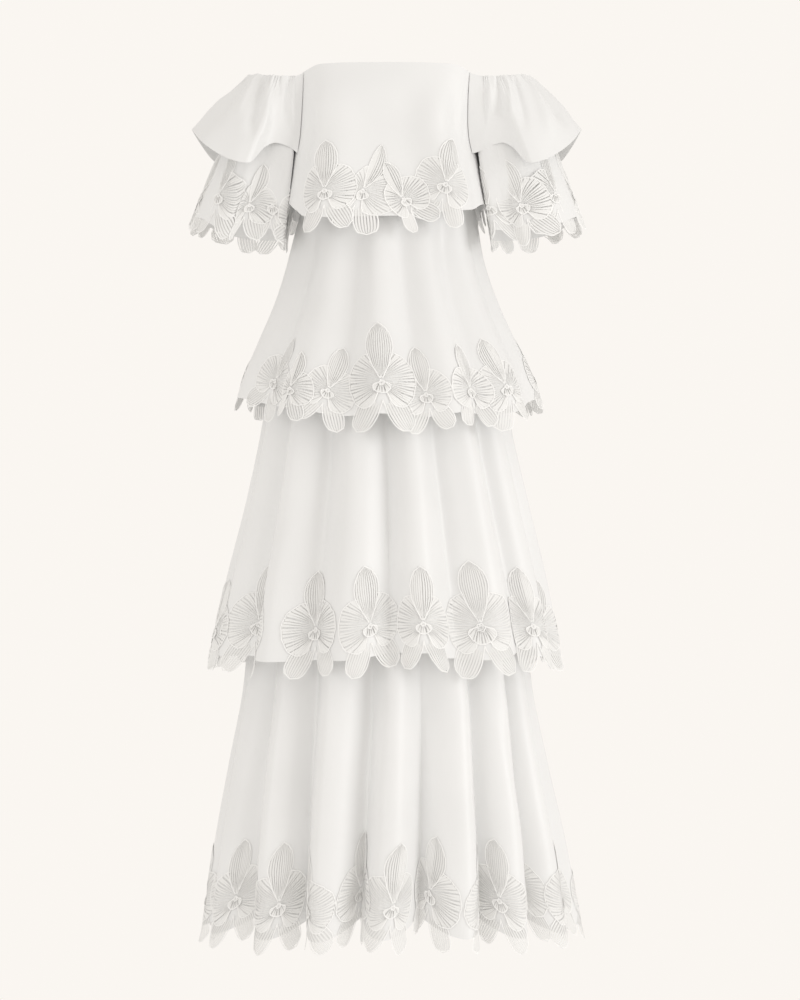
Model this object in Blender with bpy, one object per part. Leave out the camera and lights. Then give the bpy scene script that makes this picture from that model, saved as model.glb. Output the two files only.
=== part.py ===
"""Off-the-shoulder maxi dress with a popover bodice, flounced sleeves and three skirt tiers.

Every cloth piece is a thin wall between two skins. The bodice and the skirt are rings round the body: a
squared ellipse in plan whose folds are waves along it. The sleeves and ruffles hang from the neckline's
elastic and the armhole to a hem given by its stations round the arm. Lengths in the tables are
millimetres, and a drop is measured down from the neckline. The front faces -Y, +X is to the right of
someone who looks at the front, and Z is up. The origin lies on the body's axis at the bust, where the
wearer holds the dress up.
"""

from collections import namedtuple

import bpy
import numpy as np

MM = 0.001
GRIP_DROP = 60.0

CLOTH = 1.3
LACE = 1.0
LACE_GAP = 0.7
SEAM_GAP = 0.3

COLUMNS_PER_FOLD = 8
SIDE_SEAM = 90.0
RIDGE_BROADENING = 0.16
MITRE_SHARPEST = 0.75
SMOOTH_EDGE = 50.0

# gain is the share of the folds' depth that shows at this drop, and sway moves the ring towards +X.
Section = namedtuple("Section", "drop half_width half_depth squareness gain sway")
# ridge and valley are azimuths in degrees, and lean carries the ridge along the ring.
Fold = namedtuple("Fold", "ridge valley depth lean")
# side is the hem's drop at the sides, front and back are how much lower it is there.
Hem = namedtuple("Hem", "side front back valley_rise")
# small is the size of every other flower, and shift moves them all along the hem, in flowers.
Lace = namedtuple("Lace", "flowers height tail small shift")
Layer = namedtuple("Layer", "name sections folds hem lace")
# A station gives the hem's place in plan, by the turn round the arm: 0 is outward and +90 the front.
Station = namedtuple("Station", "turn x y drop")

NECK_SLOPE_START = 100.0
NECK_CORNER = 135.0
NECK_CORNER_DROP = 10.0
ARMHOLE_AZIMUTH = 59.0
UNDERARM_DROP = 98.0

BODY_FOLDS = [
    Fold(-157, -134, 10, 0),
    Fold(-112, -101, 12, 0),
    Fold(-90, -66, 13, 0),
    Fold(-38, -2, 8, 0),
    Fold(36, 64, 8, 0),
    Fold(90, 101, 13, 0),
    Fold(112, 134, 12, 0),
    Fold(157, 180, 10, 0),
]
BODICE_ROWS = (0, 0.45, 1)
BODICE_SECTIONS = [
    Section(0, 147.2, 103.2, 3.0, 0.0, 0),
    Section(60, 146.0, 113.0, 2.9, 0.0, 0),
    Section(100, 143.0, 113.0, 2.7, 0.0, 0),
    Section(150, 134.0, 104.0, 2.4, 0.0, 0),
    Section(190, 130.0, 98.0, 2.2, 0.0, 0),
]
BODICE = Layer("bodice", BODICE_SECTIONS, BODY_FOLDS, Hem(190, 0, 0, 0), None)

POPOVER_ROWS = (0, 0.25, 0.5, 0.58, 1)
POPOVER_SECTIONS = [
    Section(0, 149.0, 105.0, 3.0, 0.0, 0),
    Section(60, 150.0, 119.0, 2.9, 0.0, 0),
    Section(100, 150.5, 125.0, 2.7, 0.2, 0),
    Section(150, 151.0, 130.0, 2.5, 0.6, 0),
    Section(240, 152.0, 136.0, 2.3, 1.0, -1),
]
POPOVER = Layer("popover", POPOVER_SECTIONS, BODY_FOLDS, Hem(203, 33, 22, 0), Lace(14, 92, 24, 0.9, 1.44))

# Each lower tier's top edge is eased in from the folds of the tier that it is sewn inside.
TIER_2_SEAM = 365.0
TIER_2_EASE = 0.6
TIER_3_SEAM = 650.0
TIER_3_EASE = 1.4

TIER_1_LEVELS = (BODICE.hem.side + SEAM_GAP, 285, TIER_2_SEAM)
TIER_1_SECTIONS = [
    Section(190, 130, 98, 2.2, 0.0, 0),
    Section(232, 137, 104, 2.1, 0.1, -2),
    Section(286, 146, 112, 2.0, 0.3, -4),
    Section(348, 164, 128, 2.0, 0.5, -3),
    Section(410, 190, 150, 2.0, 0.75, -2),
    Section(472, 218, 173, 2.0, 0.95, 0),
    Section(530, 236, 190, 2.0, 1.0, 1),
]
TIER_1_FOLDS = [
    Fold(-172, -158, 16, 0),
    Fold(-145, -131, 15, 0),
    Fold(-118, -104, 16, 0),
    Fold(-90, -74, 14, 0),
    Fold(-57, -38, 18, -2),
    Fold(-25, -8, 18, -2),
    Fold(5, 18, 17, 0),
    Fold(29, 41, 16, 2),
    Fold(54, 72, 16, 2),
    Fold(90, 104, 14, 0),
    Fold(118, 131, 16, 0),
    Fold(145, 166, 17, 0),
]
TIER_1 = Layer("tier_1", TIER_1_SECTIONS, TIER_1_FOLDS, Hem(502, 28, 18, 2), Lace(14, 122, 26, 0.76, 0.52))

TIER_2_LEVELS = (TIER_2_SEAM, 500, TIER_3_SEAM)
TIER_2_SECTIONS = [
    Section(365, 163, 130, 2.0, 0.12, -3),
    Section(450, 171, 142, 2.0, 0.4, -4),
    Section(550, 184, 155, 2.0, 0.65, -4),
    Section(658, 206, 176, 2.0, 0.8, -3),
    Section(782, 236, 200, 2.0, 0.95, -4),
    Section(899, 261, 216, 2.0, 1.0, -6),
]
TIER_2_FOLDS = [
    Fold(-168, -155, 28, 3),
    Fold(-142, -129, 30, -3),
    Fold(-116, -103, 27, 0),
    Fold(-90, -77, 25, 0),
    Fold(-64, -48, 30, -2),
    Fold(-34, -22.5, 34, -6),
    Fold(-10.5, 1.3, 30, -3),
    Fold(12.5, 23, 32, 3),
    Fold(36, 51, 32, 3),
    Fold(63, 77, 30, 3),
    Fold(90, 103, 25, 0),
    Fold(116, 129, 28, 3),
    Fold(142, 154.5, 31, 0),
    Fold(167, 179.5, 28, -3),
]
TIER_2 = Layer("tier_2", TIER_2_SECTIONS, TIER_2_FOLDS, Hem(899, -9, 2, 4), Lace(18, 128, 25, 0.93, 0.06))

TIER_3_LEVELS = (TIER_3_SEAM, 900, 1140)
TIER_3_SECTIONS = [
    Section(650, 196, 165, 2.0, 0.1, -3),
    Section(830, 204, 173, 2.0, 0.45, -3),
    Section(937, 210, 178, 2.0, 0.72, -2),
    Section(1061, 231, 192, 2.0, 0.85, -1),
    Section(1186, 254, 208, 2.0, 0.95, 2),
    Section(1319, 274, 224, 2.0, 1.0, 5),
]
TIER_3_FOLDS = [
    Fold(-178, -168, 52, 5),
    Fold(-157, -146, 56, -5),
    Fold(-135, -124, 54, 4),
    Fold(-113, -101, 46, 0),
    Fold(-90, -78, 40, 0),
    Fold(-66, -51, 46, -3),
    Fold(-39, -29, 54, -10),
    Fold(-21, -11, 58, -10),
    Fold(-2, 7, 56, -7),
    Fold(19, 29.5, 62, 9),
    Fold(38.5, 50.5, 54, 6),
    Fold(64, 77, 46, 3),
    Fold(90, 101, 40, 0),
    Fold(113, 125, 50, 5),
    Fold(137, 148, 55, 0),
    Fold(159, 170, 54, -5),
]
TIER_3 = Layer("tier_3", TIER_3_SECTIONS, TIER_3_FOLDS, Hem(1317, -25, -8, 20), Lace(24, 124, 25, 0.9, 1.1))

LACE_KNEE = 12.0
LACE_HEM_COVER = 4.0
LACE_BAND_SHARE = 0.97
SEPAL_REACH = 0.3
SEPAL_FALL = 0.42
PETAL_CENTRE = 0.48
PETAL_REACH = 0.5
PETAL_FOOT = 0.52
PETAL_CROWN = 0.25
TAIL_REACH = 0.34

ARM_X = 158.0
ELASTIC_HALF_WIDTH = 55.4
ELASTIC_HALF_DEPTH = 73.4
ELASTIC_DROP = 15.0
ELASTIC_OUTER_RISE = 12.0
ELASTIC_END = 110.0

SLEEVE_ROWS = (0, 0.3, 0.56, 1)
SLEEVE_COLUMNS = 48
SLEEVE_FOLDS = 8
SLEEVE_FOLD_DEPTH = 9.0
SLEEVE_STANDOFF = 0.5
SLEEVE_CLEARANCE = 6.0
SLEEVE_LACE = Lace(10, 86, 22, 0.88, 0.0)
SLEEVE_HEM = [
    Station(-180, 167, 0, 249),
    Station(-150, 163, 44, 249),
    Station(-125, 158, 80, 248),
    Station(-90, 226, 98, 243),
    Station(-45, 284, 68, 227),
    Station(0, 301, 0, 219),
    Station(45, 282, -66, 231),
    Station(90, 230, -93, 246),
    Station(130, 184, -78, 250),
    Station(155, 169, -44, 251),
]

RUFFLE_ROWS = (0, 0.22, 0.55, 1)
RUFFLE_COLUMNS = 64
RUFFLE_GATHERS = 16
GATHER_DEPTH = 2.4
GATHER_FADE = 0.6
GATHER_ENDS = 0.125
RUFFLE_STANDOFF = 4.0
RUFFLE_BULGE = 9.0
RUFFLE_FRONT_END = (56.5, 66.0)
RUFFLE_BACK_END = (56.5, 60.0)
RUFFLE_HEM = [
    Station(-135, 138, 82, 119),
    Station(-112, 180, 102, 114),
    Station(-88, 224, 121, 148),
    Station(-45, 281, 84, 116),
    Station(0, 303, 2, 85),
    Station(45, 283, -80, 114),
    Station(88, 224, -117, 150),
    Station(112, 180, -88, 114),
    Station(135, 141, -72, 119),
]

# How far each arm's cloth reaches out from the elastic, against its tables.
LEFT_REACH = 1.03
RIGHT_REACH = 0.95

IVORY = (0.90, 0.885, 0.855, 1.0)
LACE_WHITE = (0.93, 0.92, 0.90, 1.0)


def smooth(xs, ys, at):
    """Monotone cubic curve through the points (xs, ys), read at the values at."""
    xs, ys, at = (np.asarray(values, float) for values in (xs, ys, at))
    steps = np.diff(xs)
    slopes = np.diff(ys) / steps
    tangents = np.empty(len(xs))
    tangents[0], tangents[-1] = slopes[0], slopes[-1]
    product = slopes[:-1] * slopes[1:]
    total = slopes[:-1] + slopes[1:]
    tangents[1:-1] = np.where(product > 0, 2 * product / np.where(product > 0, total, 1), 0)
    i = np.clip(np.searchsorted(xs, at) - 1, 0, len(steps) - 1)
    t = np.clip((at - xs[i]) / steps[i], 0, 1)
    rise = ys[i] * (1 - t) ** 2 * (1 + 2 * t) + ys[i + 1] * t**2 * (3 - 2 * t)
    return rise + steps[i] * t * (1 - t) * (tangents[i] * (1 - t) - tangents[i + 1] * t)


def squared_ellipse(azimuth, half_width, half_depth, squareness):
    """Plan point at an azimuth in degrees, 0 at the front and positive towards +X."""
    angle = np.radians(azimuth)
    power = 2 / squareness
    sine, cosine = np.sin(angle), np.cos(angle)
    x = half_width * np.sign(sine) * np.abs(sine) ** power
    y = -half_depth * np.sign(cosine) * np.abs(cosine) ** power
    return x, y


def section_at(sections, drop):
    """Half-width, half-depth, squareness, gain and sway at each drop."""
    drops = [section.drop for section in sections]
    return [smooth(drops, [getattr(section, name) for section in sections], drop)
            for name in Section._fields[1:]]


def fold_azimuths(folds, turn):
    """Azimuth at a turn along the ring: whole turns are the ridges, and half turns the valleys."""
    once = [azimuth for fold in folds for azimuth in (fold.ridge, fold.valley)]
    around = [azimuth + 360 * lap for lap in (-1, 0, 1) for azimuth in once]
    return smooth(np.arange(-2 * len(folds), 4 * len(folds)) / 2, around, turn)


def fold_values(folds, name, turn):
    """A fold's depth or lean, carried smoothly from ridge to ridge."""
    values = [getattr(fold, name) for fold in folds] * 3
    return smooth(np.arange(-len(folds), 2 * len(folds)), values, turn)


def fold_turns(folds, azimuth):
    """The turn along the ring at an azimuth: the inverse of fold_azimuths."""
    turns = np.linspace(-1, len(folds) + 1, 40 * len(folds))
    return np.interp(azimuth, fold_azimuths(folds, turns), turns)


def layer_points(layer, turn, drop, moved=0.0):
    """Points on a layer's outer face, moved out from it by a distance."""
    half_width, half_depth, squareness, gain, sway = section_at(layer.sections, drop)
    azimuth = fold_azimuths(layer.folds, turn)
    x, y = squared_ellipse(azimuth, half_width, half_depth, squareness)
    angle = np.radians(azimuth)
    out = np.stack(np.broadcast_arrays(half_depth * np.sin(angle), -half_width * np.cos(angle)))
    out_x, out_y = out / np.linalg.norm(out, axis=0)
    wave, swing = np.cos(2 * np.pi * turn), np.sin(2 * np.pi * turn)
    depth = fold_values(layer.folds, "depth", turn)
    lean = fold_values(layer.folds, "lean", turn)
    outward = depth / 2 * wave * gain + moved
    sideways = (RIDGE_BROADENING * depth * swing + lean * (1 + wave) / 2) * gain
    x = x + sway + out_x * outward - out_y * sideways
    y = y + out_y * outward + out_x * sideways
    return np.stack(np.broadcast_arrays(x, y, GRIP_DROP - drop), axis=-1)


def ring_turns(layer):
    return np.arange(len(layer.folds) * COLUMNS_PER_FOLD)[:, None] / COLUMNS_PER_FOLD


def hem_drops(layer, turn):
    """A hem that is lower or higher at the front and back than at the sides, and rises in the valleys."""
    front = np.cos(np.radians(fold_azimuths(layer.folds, turn)))
    sway = np.where(front > 0, layer.hem.front, layer.hem.back) * front**2
    return layer.hem.side + sway - layer.hem.valley_rise * (1 - np.cos(2 * np.pi * turn)) / 2


def neck_drops(azimuth):
    """The top edge: the straight neckline, its sloped corners, and the armholes under each arm."""
    top = POPOVER.sections[0]
    x, _ = squared_ellipse(azimuth, top.half_width, top.half_depth, top.squareness)
    to_corner = np.clip((np.abs(x) - NECK_SLOPE_START) / (NECK_CORNER - NECK_SLOPE_START), 0, 1)
    from_side = np.abs(np.abs(azimuth) - SIDE_SEAM) / (SIDE_SEAM - ARMHOLE_AZIMUTH)
    into_armhole = np.cos(np.radians(90 * np.clip(from_side, 0, 1)))
    armhole = (UNDERARM_DROP - NECK_CORNER_DROP) * into_armhole
    return NECK_CORNER_DROP * to_corner**2 * (3 - 2 * to_corner) + armhole


def bodice_grid(layer, rows):
    """A layer from the neckline and the armholes down to its hem, in rows at shares of the way."""
    turn = ring_turns(layer)
    top = neck_drops(fold_azimuths(layer.folds, turn))
    return layer_points(layer, turn, top + (hem_drops(layer, turn) - top) * np.array([rows]))


def tier_grid(layer, levels, above=None, ease=0.0):
    """A skirt tier in level rows and a hem. Its top edge is sewn inside the tier above it, if any."""
    turn = ring_turns(layer)
    level_rows = np.broadcast_to(np.array([levels], float), (len(turn), len(levels)))
    grid = layer_points(layer, turn, np.concatenate([level_rows, hem_drops(layer, turn)], axis=1))
    if above:
        beside = fold_turns(above.folds, fold_azimuths(layer.folds, turn))
        grid[:, :1] = layer_points(above, beside, level_rows[:, :1], -(CLOTH + SEAM_GAP + ease))
    return grid


def normals(grid, closed):
    """Outward unit normals of a grid, lengthened at its folds so that a wall keeps its thickness."""
    if closed:
        before, after = np.roll(grid, 1, axis=0), np.roll(grid, -1, axis=0)
    else:
        before = np.concatenate([grid[:1] * 2 - grid[1:2], grid[:-1]])
        after = np.concatenate([grid[1:], grid[-1:] * 2 - grid[-2:-1]])
    down = np.gradient(grid, axis=1)
    first = np.cross(down, grid - before)
    second = np.cross(down, after - grid)
    first /= np.linalg.norm(first, axis=-1, keepdims=True)
    second /= np.linalg.norm(second, axis=-1, keepdims=True)
    mean = first + second
    mean /= np.linalg.norm(mean, axis=-1, keepdims=True)
    return mean / np.maximum(MITRE_SHARPEST, (mean * first).sum(axis=-1, keepdims=True))


def material(name, colour, roughness):
    made = bpy.data.materials.new(name)
    made.use_nodes = True
    shader = made.node_tree.nodes["Principled BSDF"]
    shader.inputs["Base Color"].default_value = colour
    shader.inputs["Roughness"].default_value = roughness
    shader.inputs["Metallic"].default_value = 0.0
    return made


def wall(name, outer, inner, closed, finish, proud=False):
    """A solid between two grids of points: both skins, the top and bottom rims, and the ends if open.

    A twisted cell is split along whichever diagonal lies further in, or further out on a proud wall, so
    that what lies on a panel clears it.
    """
    columns, rows = outer.shape[:2]
    points = np.concatenate([outer.reshape(-1, 3), inner.reshape(-1, 3)]) * MM
    at = np.arange(columns * rows).reshape(columns, rows)
    after = np.roll(at, -1, axis=0) if closed else at[1:]
    before = at if closed else at[:-1]
    cell = np.stack([before[:, :-1], before[:, 1:], after[:, 1:], after[:, :-1]], axis=-1).reshape(-1, 4)
    a, b, c, d = (points[cell[:, corner]] for corner in range(4))
    bulge = ((a + c - b - d) * np.cross(c - a, d - b)).sum(axis=1)
    along_ac = ((bulge > 0) == proud)[:, None]
    skin = np.concatenate(
        [np.where(along_ac, cell[:, [0, 1, 2]], cell[:, [0, 1, 3]]),
         np.where(along_ac, cell[:, [0, 2, 3]], cell[:, [1, 2, 3]])]
    )
    back = at.size
    rims = [
        np.stack([before[:, 0] + back, before[:, 0], after[:, 0], after[:, 0] + back], axis=1),
        np.stack([before[:, -1], before[:, -1] + back, after[:, -1] + back, after[:, -1]], axis=1),
    ]
    if not closed:
        rims.append(np.stack([at[0, :-1], at[0, :-1] + back, at[0, 1:] + back, at[0, 1:]], axis=1))
        rims.append(np.stack([at[-1, :-1] + back, at[-1, :-1], at[-1, 1:], at[-1, 1:] + back], axis=1))
    rims = np.concatenate(rims)
    faces = np.concatenate([skin, skin[:, ::-1] + back, rims[:, [0, 1, 2]], rims[:, [0, 2, 3]]])
    mesh = bpy.data.meshes.new(name)
    mesh.from_pydata(points.tolist(), [], faces.tolist())
    mesh.shade_smooth()
    mesh.set_sharp_from_angle(angle=np.radians(SMOOTH_EDGE))
    mesh.materials.append(finish)
    made = bpy.data.objects.new(name, mesh)
    bpy.context.scene.collection.objects.link(made)


def halves(layer, suffix, outer, inner, finish, proud=False):
    """The front and the back of a ring, cut at the side seams and drawn apart by the seam gap."""
    ridges = [fold.ridge for fold in layer.folds]
    left = ridges.index(-SIDE_SEAM) * COLUMNS_PER_FOLD
    right = ridges.index(SIDE_SEAM) * COLUMNS_PER_FOLD
    count = len(outer)
    along = np.roll(outer, -1, axis=0) - np.roll(outer, 1, axis=0)
    along /= np.linalg.norm(along, axis=-1, keepdims=True)
    for half, start, end in (("front", left, right), ("back", right, left + count)):
        picked = np.arange(start, end + 1) % count
        skins = [grid[picked] for grid in (outer, inner)]
        for skin in skins:
            skin[0] += along[picked[0]] * SEAM_GAP / 2
            skin[-1] -= along[picked[-1]] * SEAM_GAP / 2
        wall(f"{layer.name}_{half}{suffix}", *skins, False, finish, proud)


def flower_tops(across, height):
    """Upper outline of a lace orchid: its upright sepal over two broad petals. across is -1 to 1."""
    reach = np.abs(across)
    sepal = height * (1 - SEPAL_FALL * (reach / SEPAL_REACH) ** 2)
    crown = np.sqrt(np.clip(1 - ((reach - PETAL_CENTRE) / PETAL_REACH) ** 2, 0, 1))
    return np.maximum(np.where(reach < SEPAL_REACH, sepal, 0), height * (PETAL_FOOT + PETAL_CROWN * crown))


def flower_tails(across, tail):
    """Lower outline: two sepals that hang past the hem, and the uncovered hem between them."""
    reach = np.abs(np.abs(across) - PETAL_CENTRE) / TAIL_REACH
    hang = (tail + LACE_HEM_COVER) * np.sqrt(np.clip(1 - reach**2, 0, 1))
    return LACE_HEM_COVER - hang


def lace_skins(grid, lace):
    """A lace edging's two skins, made from the panel's lowest band of points and moved out."""
    hem, band = grid[:, -1], grid[:, -2]
    facing = normals(grid, closed=True)
    step = np.linalg.norm(np.roll(hem, -1, axis=0) - hem, axis=-1)
    along = np.concatenate([[0], np.cumsum(step)[:-1]])
    pitch = step.sum() / lace.flowers
    place = along / pitch - lace.shift
    number = np.round(place).astype(int)
    across = 2 * (place - number)
    size = np.where(number % lace.flowers % 2 == 0, 1.0, lace.small)
    heights = np.stack(
        [
            flower_tops(across / size, lace.height * size),
            np.full(len(hem), LACE_KNEE),
            flower_tails(across / size, lace.tail * size),
        ],
        axis=1,
    )
    slant = np.linalg.norm(band - hem, axis=-1)
    share = np.minimum(heights / slant[:, None], LACE_BAND_SHARE)[..., None]
    middle = hem[:, None] * (1 - share) + band[:, None] * share
    turned = np.clip(share, 0, 1)
    out = facing[:, -1:] * (1 - turned) + facing[:, -2:-1] * turned
    return middle + out * (LACE_GAP + LACE), middle + out * LACE_GAP


def bodice_and_skirt(cloth, lace_finish):
    """The under-bodice, the popover and the three tiers, each with its front and its back."""
    layers = (
        (BODICE, bodice_grid(BODICE, BODICE_ROWS)),
        (POPOVER, bodice_grid(POPOVER, POPOVER_ROWS)),
        (TIER_1, tier_grid(TIER_1, TIER_1_LEVELS)),
        (TIER_2, tier_grid(TIER_2, TIER_2_LEVELS, TIER_1, TIER_2_EASE)),
        (TIER_3, tier_grid(TIER_3, TIER_3_LEVELS, TIER_2, TIER_3_EASE)),
    )
    for layer, grid in layers:
        halves(layer, "", grid, grid - normals(grid, closed=True) * CLOTH, cloth)
        if layer.lace:
            halves(layer, "_lace", *lace_skins(grid, layer.lace), lace_finish, proud=True)


def elastic_edge(turn, standoff):
    """The gathered neckline edge round the arm."""
    angle = np.radians(turn)
    x = ARM_X + (ELASTIC_HALF_WIDTH + standoff) * np.cos(angle)
    y = -(ELASTIC_HALF_DEPTH + standoff) * np.sin(angle)
    drop = ELASTIC_DROP - ELASTIC_OUTER_RISE * np.clip(np.cos(angle), 0, 1) ** 2
    return np.stack([x, y, GRIP_DROP - drop], axis=-1)


def beside_popover(azimuth, drop, standoff):
    """Points beside the popover, off its outer face."""
    return layer_points(POPOVER, fold_turns(POPOVER.folds, azimuth), drop, standoff)


def hem_curve(stations, turn):
    """The hem through its stations, in plan and drop."""
    turns = [station.turn for station in stations]
    x, y, drop = (smooth(turns, [getattr(station, name) for station in stations], turn)
                  for name in ("x", "y", "drop"))
    return np.stack([x, y, GRIP_DROP - drop], axis=-1)


def hung(top, hem, rows):
    """Rows of points from a top edge straight down to a hem."""
    fall = np.array(rows)[None, :, None]
    return top[:, None] * (1 - fall) + hem[:, None] * fall


def sleeve_grid():
    """The closed flounce of the sleeve on the +X side, from the elastic and the armhole to its hem."""
    turn = -180 + 360 * np.arange(SLEEVE_COLUMNS) / SLEEVE_COLUMNS
    inside = np.clip((np.abs(turn) - ELASTIC_END) / (180 - ELASTIC_END), 0, 1)
    towards = np.where(turn > 0, -1, 1) * (1 - inside)
    azimuth = SIDE_SEAM + towards * (SIDE_SEAM - ARMHOLE_AZIMUTH)
    on_armhole = beside_popover(azimuth, neck_drops(azimuth), SLEEVE_STANDOFF)
    top = np.where(inside[:, None] > 0, on_armhole, elastic_edge(turn, 0.0))
    first = SLEEVE_HEM[0]
    hem = hem_curve(SLEEVE_HEM + [first._replace(turn=180)], turn)
    along = np.roll(hem, -1, axis=0) - np.roll(hem, 1, axis=0)
    out = np.stack([-along[:, 1], along[:, 0], 0 * turn], axis=-1)
    out /= -np.linalg.norm(out, axis=-1, keepdims=True)
    outer_side = np.cos(np.radians(turn / 2)) ** 2
    wave = np.cos(SLEEVE_FOLDS * np.radians(turn)) * SLEEVE_FOLD_DEPTH / 2 * outer_side
    grid = hung(top, hem + out * wave[:, None], SLEEVE_ROWS)
    grid[..., 0] += SLEEVE_CLEARANCE * np.sin(np.pi * np.array(SLEEVE_ROWS)) * inside[:, None]
    return grid


def ruffle_grid():
    """The open flounce over the +X sleeve, gathered along the elastic, its ends in the armhole seam."""
    share = np.arange(RUFFLE_COLUMNS + 1) / RUFFLE_COLUMNS
    middle = 2 * share - 1
    turn = RUFFLE_HEM[-1].turn * middle
    grid = hung(elastic_edge(ELASTIC_END * middle, RUFFLE_STANDOFF), hem_curve(RUFFLE_HEM, turn), RUFFLE_ROWS)
    rows = np.array(RUFFLE_ROWS)
    from_end = np.clip((1 - np.abs(middle)) / GATHER_ENDS, 0, 1)
    fading = np.clip(1 - rows / GATHER_FADE, 0, 1) * from_end[:, None]
    gather = GATHER_DEPTH / 2 * np.cos(2 * np.pi * RUFFLE_GATHERS * share)[:, None] * fading
    outward = gather + RUFFLE_BULGE * np.sin(np.pi * rows)
    grid[..., 0] += np.cos(np.radians(turn))[:, None] * outward
    grid[..., 1] -= np.sin(np.radians(turn))[:, None] * outward
    drop = NECK_CORNER_DROP + (RUFFLE_HEM[0].drop - NECK_CORNER_DROP) * rows
    front_end = RUFFLE_FRONT_END[0] + np.ptp(RUFFLE_FRONT_END) * rows
    back_end = 180 - RUFFLE_BACK_END[0] - np.ptp(RUFFLE_BACK_END) * rows
    grid[0] = beside_popover(back_end, drop, CLOTH)
    grid[-1] = beside_popover(front_end, drop, CLOTH)
    return grid


def arms(cloth, lace_finish):
    """Both sleeves, their lace, and the ruffle over each. The -X side mirrors the +X side."""
    elastic_end = ARM_X + ELASTIC_HALF_WIDTH
    for side, mirror, reach in (("left", -1, LEFT_REACH), ("right", 1, RIGHT_REACH)):
        for piece, made, closed in (("sleeve", sleeve_grid(), True), ("ruffle", ruffle_grid(), False)):
            # The columns run from the back round to the front, so the +X side's are reversed to face out.
            grid = made if side == "left" else made[::-1]
            past_elastic = np.clip(grid[..., 0] - elastic_end, 0, None)
            grid[..., 0] = mirror * (grid[..., 0] + past_elastic * (reach - 1))
            wall(f"{piece}_{side}", grid, grid - normals(grid, closed) * CLOTH, closed, cloth)
            if closed:
                wall(f"{piece}_{side}_lace", *lace_skins(grid, SLEEVE_LACE), closed, lace_finish, proud=True)


def main():
    for old in list(bpy.data.objects):
        bpy.data.objects.remove(old)
    cloth = material("ivory_satin", IVORY, 0.45)
    lace_finish = material("white_lace", LACE_WHITE, 0.75)
    bodice_and_skirt(cloth, lace_finish)
    arms(cloth, lace_finish)


main()
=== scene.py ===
"""Looks of an off-the-shoulder maxi dress: a popover bodice, flounced sleeves and three skirt tiers.

The cloth is thin satin in two skins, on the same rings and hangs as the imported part. The skirt and the
bodice are squared ellipses in plan, whose folds are waves along them, with softer creases laid over. Along
every hem lies orchid lace, drawn as corded ribs in the flat and carried onto the cloth by its arc length.
Lengths in the tables are millimetres, and a drop is measured down from the neckline.
"""

from collections import namedtuple

import bpy
import numpy as np
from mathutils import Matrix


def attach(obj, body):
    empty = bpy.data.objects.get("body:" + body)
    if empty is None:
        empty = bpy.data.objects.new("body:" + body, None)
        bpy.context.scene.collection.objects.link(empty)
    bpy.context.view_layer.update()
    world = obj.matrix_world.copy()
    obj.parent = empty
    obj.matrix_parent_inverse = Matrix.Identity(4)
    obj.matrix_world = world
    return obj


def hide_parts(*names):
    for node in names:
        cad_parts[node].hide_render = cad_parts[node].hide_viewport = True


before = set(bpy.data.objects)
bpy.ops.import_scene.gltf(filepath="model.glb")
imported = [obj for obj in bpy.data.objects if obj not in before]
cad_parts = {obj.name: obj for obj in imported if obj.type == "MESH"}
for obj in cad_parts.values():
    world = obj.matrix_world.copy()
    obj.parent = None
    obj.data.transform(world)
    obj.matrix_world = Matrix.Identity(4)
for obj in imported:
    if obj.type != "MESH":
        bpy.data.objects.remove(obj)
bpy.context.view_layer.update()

MM = 0.001
GRIP_DROP = 60.0
CLOTH = 1.3
SEAM_GAP = 0.3
SHELL = 0.9
SIDE_SEAM = 90.0
SEAM_PINCH = 0.8
COLUMNS_PER_FOLD = 24
SLEEVE_STEP = 1.5
RUFFLE_COLUMNS = 341
CLOTH_SHARPEST = 60
LACE_SHARPEST = 35
RIDGE_BROADENING = 0.16
DRIFT_HEIGHT = 250.0
DRIFT_LIMIT = 1.4

# gain is the share of the folds' depth that shows at this drop, and sway moves the ring towards +X.
Section = namedtuple("Section", "drop half_width half_depth squareness gain sway")
# ridge and valley are azimuths in degrees at the hem, 0 at the front and positive towards +X. lean carries
# the ridge along the ring, and drift turns the fold as it rises by DRIFT_HEIGHT.
Fold = namedtuple("Fold", "ridge valley depth lean drift", defaults=(0, 0))
# How far down the hem is at an azimuth.
Hem = namedtuple("Hem", "azimuth drop")
Layer = namedtuple("Layer", "name sections folds hem valley_rise")
# A crease runs from one azimuth and drop to another. A ridge has a positive depth, a trough a negative one.
Crease = namedtuple("Crease", "azimuth drift top bottom width depth")
# A station gives the hem's place in plan, by the turn round the arm: 0 is outward and +90 the front.
Station = namedtuple("Station", "turn x y drop")
# A flower's place is an azimuth, or a turn round the arm. turn makes its left side narrower, or with a minus
# its right side, raised moves its heart up from the usual height, and lip is the size of its frilled lip.
Flower = namedtuple("Flower", "place size tilt turn raised lip", defaults=(0, 0, 1))
# A tier is sewn at its seam to the inside of the layer above, and hangs clear of it from the free drop. Its
# top stands in from there by the seam gap and by ease_in.
Tier = namedtuple("Tier", "seam above free ease_in", defaults=(None, None, 0))
# The size that a panel is cut to: its width at the hem, its length, and its flat area.
Cut = namedtuple("Cut", "width length area")
# How a kind of piece is held, and what it rests on, where braces stand for its own half or side.
Hold = namedtuple("Hold", "held rests_on", defaults=((),))
Light = namedtuple("Light", "name place size power")


def rows(kind, table):
    """One of a kind for each row of a table."""
    return [kind(*row) for row in table]


NECK_SLOPE_START = 100.0
NECK_CORNER = 135.0
NECK_CORNER_DROP = 10.0
ARMHOLE_AZIMUTH = 59.0
UNDERARM_DROP = 98.0

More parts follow.
